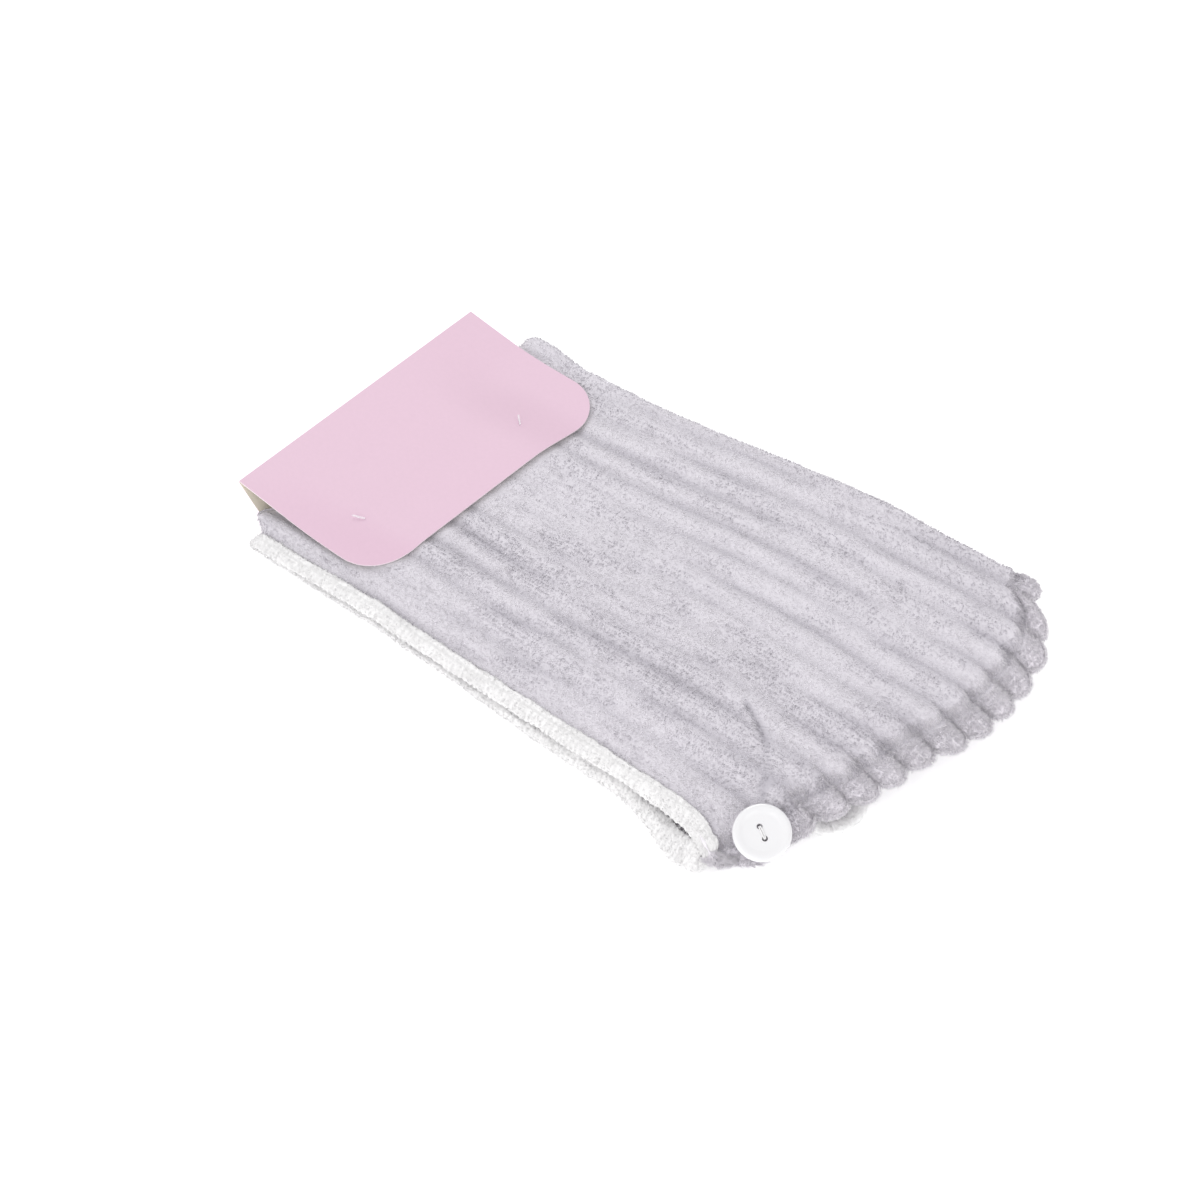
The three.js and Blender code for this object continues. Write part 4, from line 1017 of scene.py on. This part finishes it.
class AddLoop(bpy.types.Operator):
    """Adds the soft strap on the tail"""

    bl_idname = "towel.add_loop"
    bl_label = "Loop"

    STEPS, SIDES = 150, 32
    STITCH = 1.3
    FLATNESS = 0.7

    def line(self):
        """Smooth curve through the strap's route: a cubic between each two knots, with slopes taken from the
        knots beside them."""
        knots = np.array(STRAP_ROUTE) * np.array([MOUTH_WIDTH, FOLDED_DEPTH, STRAP_WIDTH])
        knots = np.concatenate([[2 * knots[0] - knots[1]], knots, [2 * knots[-1] - knots[-2]]])
        at = np.linspace(0, len(knots) - 3, self.STEPS)
        i = np.minimum(at.astype(int), len(knots) - 4)
        t = (at - i)[:, None]
        p0, p1, p2, p3 = (knots[i + k] for k in range(4))
        square, cube = 2 * p0 - 5 * p1 + 4 * p2 - p3, 3 * p1 - p0 - 3 * p2 + p3
        return 0.5 * (2 * p1 + (p2 - p0) * t + square * t**2 + cube * t**3)

    def execute(self, context):
        """Carries a flat oval along the strap's line, swollen by its stitches and by noise."""
        look = context.scene.towel_look
        line = self.line()
        way = unit(np.gradient(line, axis=0))
        side = unit(np.cross(way, [0, 0, 1.0]))
        normal = np.cross(side, way)
        angle = circle_angles(self.SIDES)[None, :, None]
        length = np.cumsum(np.linalg.norm(np.diff(line, axis=0, prepend=line[:1]), axis=1))[:, None, None]
        stitches = 0.05 * np.sin(2 * np.pi * length / self.STITCH)
        swell = 1 + stitches + 0.09 * cloud(length / 5, angle, 51)
        aside = STRAP_WIDTH / 2 * fuller(np.cos(angle), self.FLATNESS) * swell
        off = STRAP_THICK / 2 * np.sin(angle) * swell
        points = line[:, None] + side[:, None] * aside + normal[:, None] * off
        uv = np.concatenate([length + 0 * angle, angle + 0 * length], -1) / 1000
        faces = [face[::-1] for face in tube_faces(*points.shape[:2])]
        # Painted light: the strap's colour is the knit's made 15% lighter, so that it reads bright in the
        # shade under the hem.
        pale = times(look.knit, 1.15)
        cloth = cloth_material("strap_cloth", pale, times(pale, 0.75), 0.5, 1300, 120)
        marks = {"valley": 0.05 + 0 * points[..., 0]}
        strap = mesh_piece("loop_strap", points, faces, cloth, uv, marks=marks)
        dressed(strap, "strap", "tail_loop")
        grid = {
            "points": points, "out": -grid_normals(points), "arc": arc_along(points, 0 * length[:, 0, 0]),
            "run": length[..., 0] + 0 * angle[..., 0],
        }
        lie = 3.0 * cloud(grid["run"] / 8, grid["arc"] / 4, 81, 2)
        knit_fuzz("loop_pile", "strap", grid, lie, 0.8, 0.9, 4000, 0.15, cloth, 300)
        return {"FINISHED"}


class AddButton(bpy.types.Operator):
    """Adds the button and its thread"""

    bl_idname = "towel.add_button"
    bl_label = "Button"

    FROM_SEAM = 9.5
    FROM_MOUTH = 9.0
    LEAN = math.radians(26)
    TURN = math.radians(-50)
    SPIN = math.radians(-27)
    SHANK = 2.8
    THICK = 3.6
    HOLE = 2.3
    HOLE_PITCH = 5.3
    SIDES, HOLE_SIDES = 96, 32
    SOFT_EDGE = 0.25
    THREAD = 0.3
    WINDING = 1.25
    # Shares of the radius and of the thickness, from the middle of the back to the middle of the front.
    PROFILE = (
        (0.0, 0.0), (0.5, 0.0), (0.8, 0.0), (0.87, 0.06), (0.94, 0.24), (0.985, 0.45),
        (1.0, 0.58), (0.992, 0.75), (0.965, 0.88), (0.925, 0.96), (0.875, 1.0), (0.82, 0.995),
        (0.77, 0.965), (0.715, 0.905), (0.66, 0.85), (0.6, 0.82), (0.4, 0.8), (0.0, 0.795),
    )

    def axes(self):
        """Middle of the seat and the button's three directions: its up leans out over the corner."""
        y = np.array([self.FROM_MOUTH])
        left, right = (side[0] for side in sides_at(y))
        x = np.array([right - self.FROM_SEAM])
        upper, lower = top_panel(x, y, left, right)
        seat = settle(x, y, upper + crease_at(x, y))[0]
        level = math.sin(self.LEAN)
        up = np.array([level * math.cos(self.TURN), level * math.sin(self.TURN), math.cos(self.LEAN)])
        turn = Vector((0, 0, 1)).rotation_difference(Vector(up))
        side = np.array(turn @ Vector((math.cos(self.SPIN), math.sin(self.SPIN), 0)))
        return seat, side, np.cross(up, side), up

    def placed(self, local):
        seat, side, ahead, up = self.axes()
        return seat + local @ np.stack([side, ahead, up])

    def execute(self, context):
        """Turns the profile round the button's axis, with a fan of triangles at each pole."""
        look = context.scene.button_look
        profile = np.array(self.PROFILE)
        lift = self.SHANK + 2 * SEWN_GAP
        angle = circle_angles(self.SIDES)[None, :]
        r, z = profile[1:-1, :1] * (look.diameter / MM / 2), profile[1:-1, 1:] * self.THICK
        ring = np.stack([r * np.cos(angle), r * np.sin(angle), z + lift + 0 * angle], -1)
        poles = [[0, 0, lift + profile[end, 1] * self.THICK] for end in (0, -1)]
        rows, count = ring.shape[:2]
        points = np.concatenate([ring.reshape(-1, 3), poles])
        j, last = np.arange(count), (rows - 1) * count
        after = (j + 1) % count
        fans = [[after, j, 0 * j + rows * count], [last + j, last + after, 0 * j + rows * count + 1]]
        faces = grid_quads(rows, count).tolist()
        faces += np.concatenate([np.stack(fan, -1) for fan in fans]).tolist()
        resin = scuffed_material(
            "white_resin", look.resin, 0.16, 250, 6, (0.1, 0.26), Coat_Weight=0.6, Coat_Roughness=0.05
        )
        disc = mesh_piece("button_disc", self.placed(points), faces, resin)
        for way in (-1, 1):
            self.drill(disc, way * self.HOLE_PITCH / 2, lift)
        bevel = disc.modifiers.new("soft_edges", "BEVEL")
        bevel.width = self.SOFT_EDGE * MM
        bevel.segments = 3
        bevel.limit_method = "ANGLE"
        bevel.angle_limit = math.radians(50)
        dressed(disc, "button", "button")
        self.thread(context.scene.towel_look, lift)
        return {"FINISHED"}

    def drill(self, disc, aside, lift):
        """Cuts a round hole through the disc and applies the cut."""
        angle = circle_angles(self.HOLE_SIDES)
        circle = np.stack([aside + self.HOLE / 2 * np.cos(angle), self.HOLE / 2 * np.sin(angle)], -1)
        ends = (lift - 1, lift + self.THICK + 1)
        points = np.concatenate([np.concatenate([circle, np.full((len(circle), 1), z)], 1) for z in ends])
        drill = mesh_piece("drill", self.placed(points), tube_faces(2, len(circle)), disc.data.materials[0])
        cut = disc.modifiers.new("hole", "BOOLEAN")
        cut.operation = "DIFFERENCE"
        cut.solver = "EXACT"
        cut.object = drill
        done = bpy.data.meshes.new_from_object(disc.evaluated_get(bpy.context.evaluated_depsgraph_get()))
        disc.modifiers.remove(cut)
        disc.data = done
        bpy.data.objects.remove(drill)

    def thread(self, look, lift):
        """Two strands that arch from hole to hole and a wound shank, each a round tube along its own line."""
        t = np.linspace(0, 1, 60)
        arch = np.sin(np.pi * t)
        reach = self.HOLE_PITCH / 2
        x = lerp(-reach, reach, ease(t))
        low, high = lift - 1.4, lift + self.THICK * 0.8 + 0.15
        z = low + (high - lift + 1.4) * np.clip(arch * 3.2, 0, 1) ** 0.6
        lines = [np.stack([x, aside * (0.4 + 0.6 * arch), z], -1) for aside in (-0.42, 0.42)]
        turns = np.linspace(0, 2 * np.pi * 5, 200)
        height = np.linspace(0.75, lift - 0.9, 200)
        lines.append(np.stack([self.WINDING * np.cos(turns), self.WINDING * np.sin(turns), height], -1))
        cotton = cloth_material("cotton_thread", look.knit, times(look.knit, 0.8), 0.3, 2500, 300)
        points, faces = joined([tube_along(self.placed(line), self.THREAD, 10) for line in lines])
        marks = {"valley": np.full(len(points), 0.1)}
        strands = mesh_piece("thread", points, faces, cotton, points[:, :2] / 1000, marks=marks)
        dressed(strands, "thread", "button_thread")


class AddCard(bpy.types.Operator):
    """Adds the folded card and the pins that hold it"""

    bl_idname = "towel.add_card"
    bl_label = "Card"

    OUT_STEPS, ALONG_STEPS = 46, 110
    TACKS = ((0.634, 0.13, 21.0), (0.754, 0.747, -42.0))  # shares of the flap and the length, and a turn
    BAR_HALF = 3.0
    BAR_HEIGHT = 0.9
    BAR_RADIUS = 0.45
    WIRE_RADIUS = 0.3
    WIRE_END = -3.0

    def place(self, out, along, height):
        """A point of the card: so far from its fold and so far along it, turned a little on the plan."""
        turn = math.radians(CARD_TURN)
        x = -CARD_OVERHANG + out * math.cos(turn) + along * math.sin(turn)
        y = CARD_FROM_MOUTH - out * math.sin(turn) + along * math.cos(turn)
        return np.stack(np.broadcast_arrays(x, y, height), -1)

    def front_height(self, out, along):
        """Underside of the front flap: it climbs from the fold as a quarter sine and lies on the towel."""
        at = self.place(out, along, 0.0)
        rise = np.sin(np.pi / 2 * np.clip(out / CARD_RISE_RUN, 0, 1))
        top = towel_top(np.maximum(at[..., 0], MOUTH_WIDTH * 0.03), at[..., 1]) + CARD_CLEAR
        return lerp(CARD_FOLD_HEIGHT + SEWN_GAP / 2, top, rise)

    def back_height(self, out):
        """Underside of the back flap: it falls from the fold to the floor as a quarter sine."""
        start = CARD_FOLD_HEIGHT - SEWN_GAP / 2 - CARD_THICK
        return start * (1 - np.sin(np.pi / 2 * np.clip(out / CARD_BACK_RUN, 0, 1)))

    def end_faces(self, rows, count, n):
        """The cut edges at both ends of the card: a strip of quads up each flap and the tip of the fold."""
        k = np.arange(n - 1)
        lower = np.stack([k, k + 1, 4 * n - 1 - k, 4 * n - k], -1)
        upper = np.stack([n + 1 + k, n + 2 + k, 3 * n - 1 - k, 3 * n - k], -1)
        end = [*lower.tolist(), *upper.tolist(), [n - 1, n, n + 1, 3 * n], [n - 1, 3 * n, 3 * n + 1]]
        last = [[c + (rows - 1) * count for c in face] for face in end]
        return [face[::-1] for face in end] + last

    def execute(self, context):
        """Sweeps the card's section along its fold: under the back flap, round the tip, over the front flap,
        and back between the flaps, with rows closer at the rounded corners."""
        look = context.scene.card_look
        share = np.linspace(0, 1, self.ALONG_STEPS)
        along = (CARD_LENGTH * (share - 0.9 * np.sin(2 * np.pi * share) / (2 * np.pi)))[:, None]
        out = card_reach(along) * np.linspace(0, 1, self.OUT_STEPS)[None, :]
        front = self.front_height(out, along)
        back = self.back_height(out) + 0 * along
        flip = slice(None, None, -1)
        points = np.concatenate([
            self.place(out[:, flip], along, back[:, flip]),
            self.place(np.full_like(along, -CARD_THICK), along, np.full_like(along, CARD_FOLD_HEIGHT)),
            self.place(out, along, front + CARD_THICK),
            self.place(out[:, flip], along, front[:, flip]),
            self.place(out, along, back + CARD_THICK),
        ], axis=1)
        rows, count = points.shape[:2]
        n = self.OUT_STEPS
        ends = self.end_faces(rows, count, n)
        column = np.tile(np.arange(count), rows - 1)
        inside = (column > 2 * n) & (column < 4 * n)
        edge = (column == 2 * n) | (column == 4 * n)
        slots = np.concatenate([np.where(inside, 1, 0) + np.where(edge, 2, 0), np.full(len(ends), 2)])
        cards = [
            card_material("pink_card", look.face, 0.25),
            card_material("cream_card", look.inside, 0.0),
            card_material("card_edge", look.edge, 0.0),
        ]
        card = mesh_piece("folded_card", points, grid_quads(rows, count).tolist() + ends, cards)
        card.data.polygons.foreach_set("material_index", slots.astype(np.int32))
        card.data.set_sharp_from_angle(angle=math.radians(40))
        dressed(card, "card", "header_card")
        clear = scuffed_material("clear_nylon", (0.85, 0.85, 0.87), 0.2, 800, 2, (0.12, 0.3), Alpha=0.3)
        for number, row in enumerate(self.TACKS, 1):
            self.tack(number, row, clear)
        return {"FINISHED"}

    def tack(self, number, row, clear):
        """A pin: a short bar with round ends on the card, and a wire down through it."""
        out, along = np.array([row[0] * CARD_FLAP]), np.array([row[1] * CARD_LENGTH])
        at = self.place(out, along, self.front_height(out, along) + CARD_THICK)[0]
        turn = math.radians(row[2])
        t = np.linspace(-1, 1, 24)
        aside = t * self.BAR_HALF
        bar = np.stack([aside * math.cos(turn), aside * math.sin(turn), self.BAR_HEIGHT + 0 * t], -1) + at
        down = np.linspace(self.BAR_HEIGHT, self.WIRE_END, len(t))
        wire = np.stack([0 * t, 0 * t, down], -1) + at
        ends = 1 - np.clip((np.abs(t) - 0.85) / 0.151, 0, 1) ** 2
        radius = self.BAR_RADIUS * np.sqrt(np.clip(ends, 0.02, 1))
        tubes = tube_along(bar, radius[:, None, None], 16), tube_along(wire, self.WIRE_RADIUS, 12)
        dressed(mesh_piece(f"pin_{number}", *joined(tubes), clear), "clear", f"tack_{number}")


class AddStage(bpy.types.Operator):
    """Adds the floor, the lights and the camera"""

    bl_idname = "towel.add_stage"
    bl_label = "Stage"

    TARGET = np.array([117.05, 68.4, 0.0])  # the point of the plan that the camera looks at
    FLOOR_HALF = 6.0
    FLOOR_GLOW = 0.3
    ROOM_LIGHT = 0.82
    LENS = 150
    # Name, place in metres, side of the square and power.
    LIGHTS = (
        ("key", (-1.1, 0.9, 1.4), 1.2, 12.0),
        ("front", (0.0, -1.9, 0.8), 1.8, 16.0),
        ("side", (1.9, -0.3, 0.9), 1.6, 9.0),
    )

    def execute(self, context):
        look = context.scene.stage_look
        glow = {"Emission_Color": (1, 1, 1, 1), "Emission_Strength": self.FLOOR_GLOW}
        material = shader("pale_floor", look.floor, 0.9, **glow)[0]
        half = self.FLOOR_HALF / MM
        corners = np.array([[-half, -half, 0], [half, -half, 0], [half, half, 0], [-half, half, 0]])
        mesh_piece("floor", corners, [[0, 1, 2, 3]], material, smooth=False)
        world = bpy.data.worlds.new("soft_room")
        world.use_nodes = True
        sky = world.node_tree.nodes["Background"].inputs
        sky["Color"].default_value = (1, 1, 1, 1)
        sky["Strength"].default_value = self.ROOM_LIGHT
        context.scene.world = world
        target = Vector(on_part(self.TARGET))
        for name, place, size, power in self.LIGHTS:
            data = bpy.data.lights.new(name, "AREA")
            data.size = size
            data.energy = power
            lamp = in_scene(name, data)
            lamp.location = place
            lamp.rotation_euler = (target - Vector(place)).to_track_quat("-Z", "Y").to_euler()
        level = math.cos(look.elevation)
        east, north = math.sin(look.azimuth) * level, -math.cos(look.azimuth) * level
        back = Vector((east, north, math.sin(look.elevation)))
        data = bpy.data.cameras.new("camera")
        data.sensor_width = 36
        data.lens = self.LENS
        data.clip_end = 20
        camera = in_scene("camera", data)
        camera.location = target + back * look.distance
        camera.rotation_euler = back.to_track_quat("Z", "Y").to_euler()
        context.scene.camera = camera
        context.scene.view_settings.view_transform = "Standard"
        return {"FINISHED"}


class TowelPanel(bpy.types.Panel):
    """Lists the towel's pieces and settings"""

    bl_label = "Folded turban towel"
    bl_idname = "VIEW3D_PT_folded_towel"
    bl_space_type = "VIEW_3D"
    bl_region_type = "UI"
    bl_category = "Towel"

    def draw(self, context):
        for look, settings in SETTINGS:
            for name in settings.__annotations__:
                self.layout.prop(getattr(context.scene, look), name)
        for operator in OPERATORS:
            self.layout.operator(operator.bl_idname)


OPERATORS = (AddFleece, AddPile, AddBinding, AddLoop, AddButton, AddCard, AddStage)
SETTINGS = (
    ("towel_look", TowelSettings),
    ("button_look", ButtonSettings),
    ("card_look", CardSettings),
    ("stage_look", StageSettings),
)


def register():
    for name, settings in SETTINGS:
        bpy.utils.register_class(settings)
        setattr(bpy.types.Scene, name, bpy.props.PointerProperty(type=settings))
    for operator in OPERATORS:
        bpy.utils.register_class(operator)
    bpy.utils.register_class(TowelPanel)


def unregister():
    bpy.utils.unregister_class(TowelPanel)
    for operator in reversed(OPERATORS):
        bpy.utils.unregister_class(operator)
    for name, settings in reversed(SETTINGS):
        delattr(bpy.types.Scene, name)
        bpy.utils.unregister_class(settings)


def main():
    register()
    bpy.ops.towel.add_fleece()
    bpy.ops.towel.add_pile()
    bpy.ops.towel.add_binding()
    bpy.ops.towel.add_loop()
    bpy.ops.towel.add_button()
    bpy.ops.towel.add_card()
    bpy.ops.towel.add_stage()


if __name__ == "__main__":
    main()
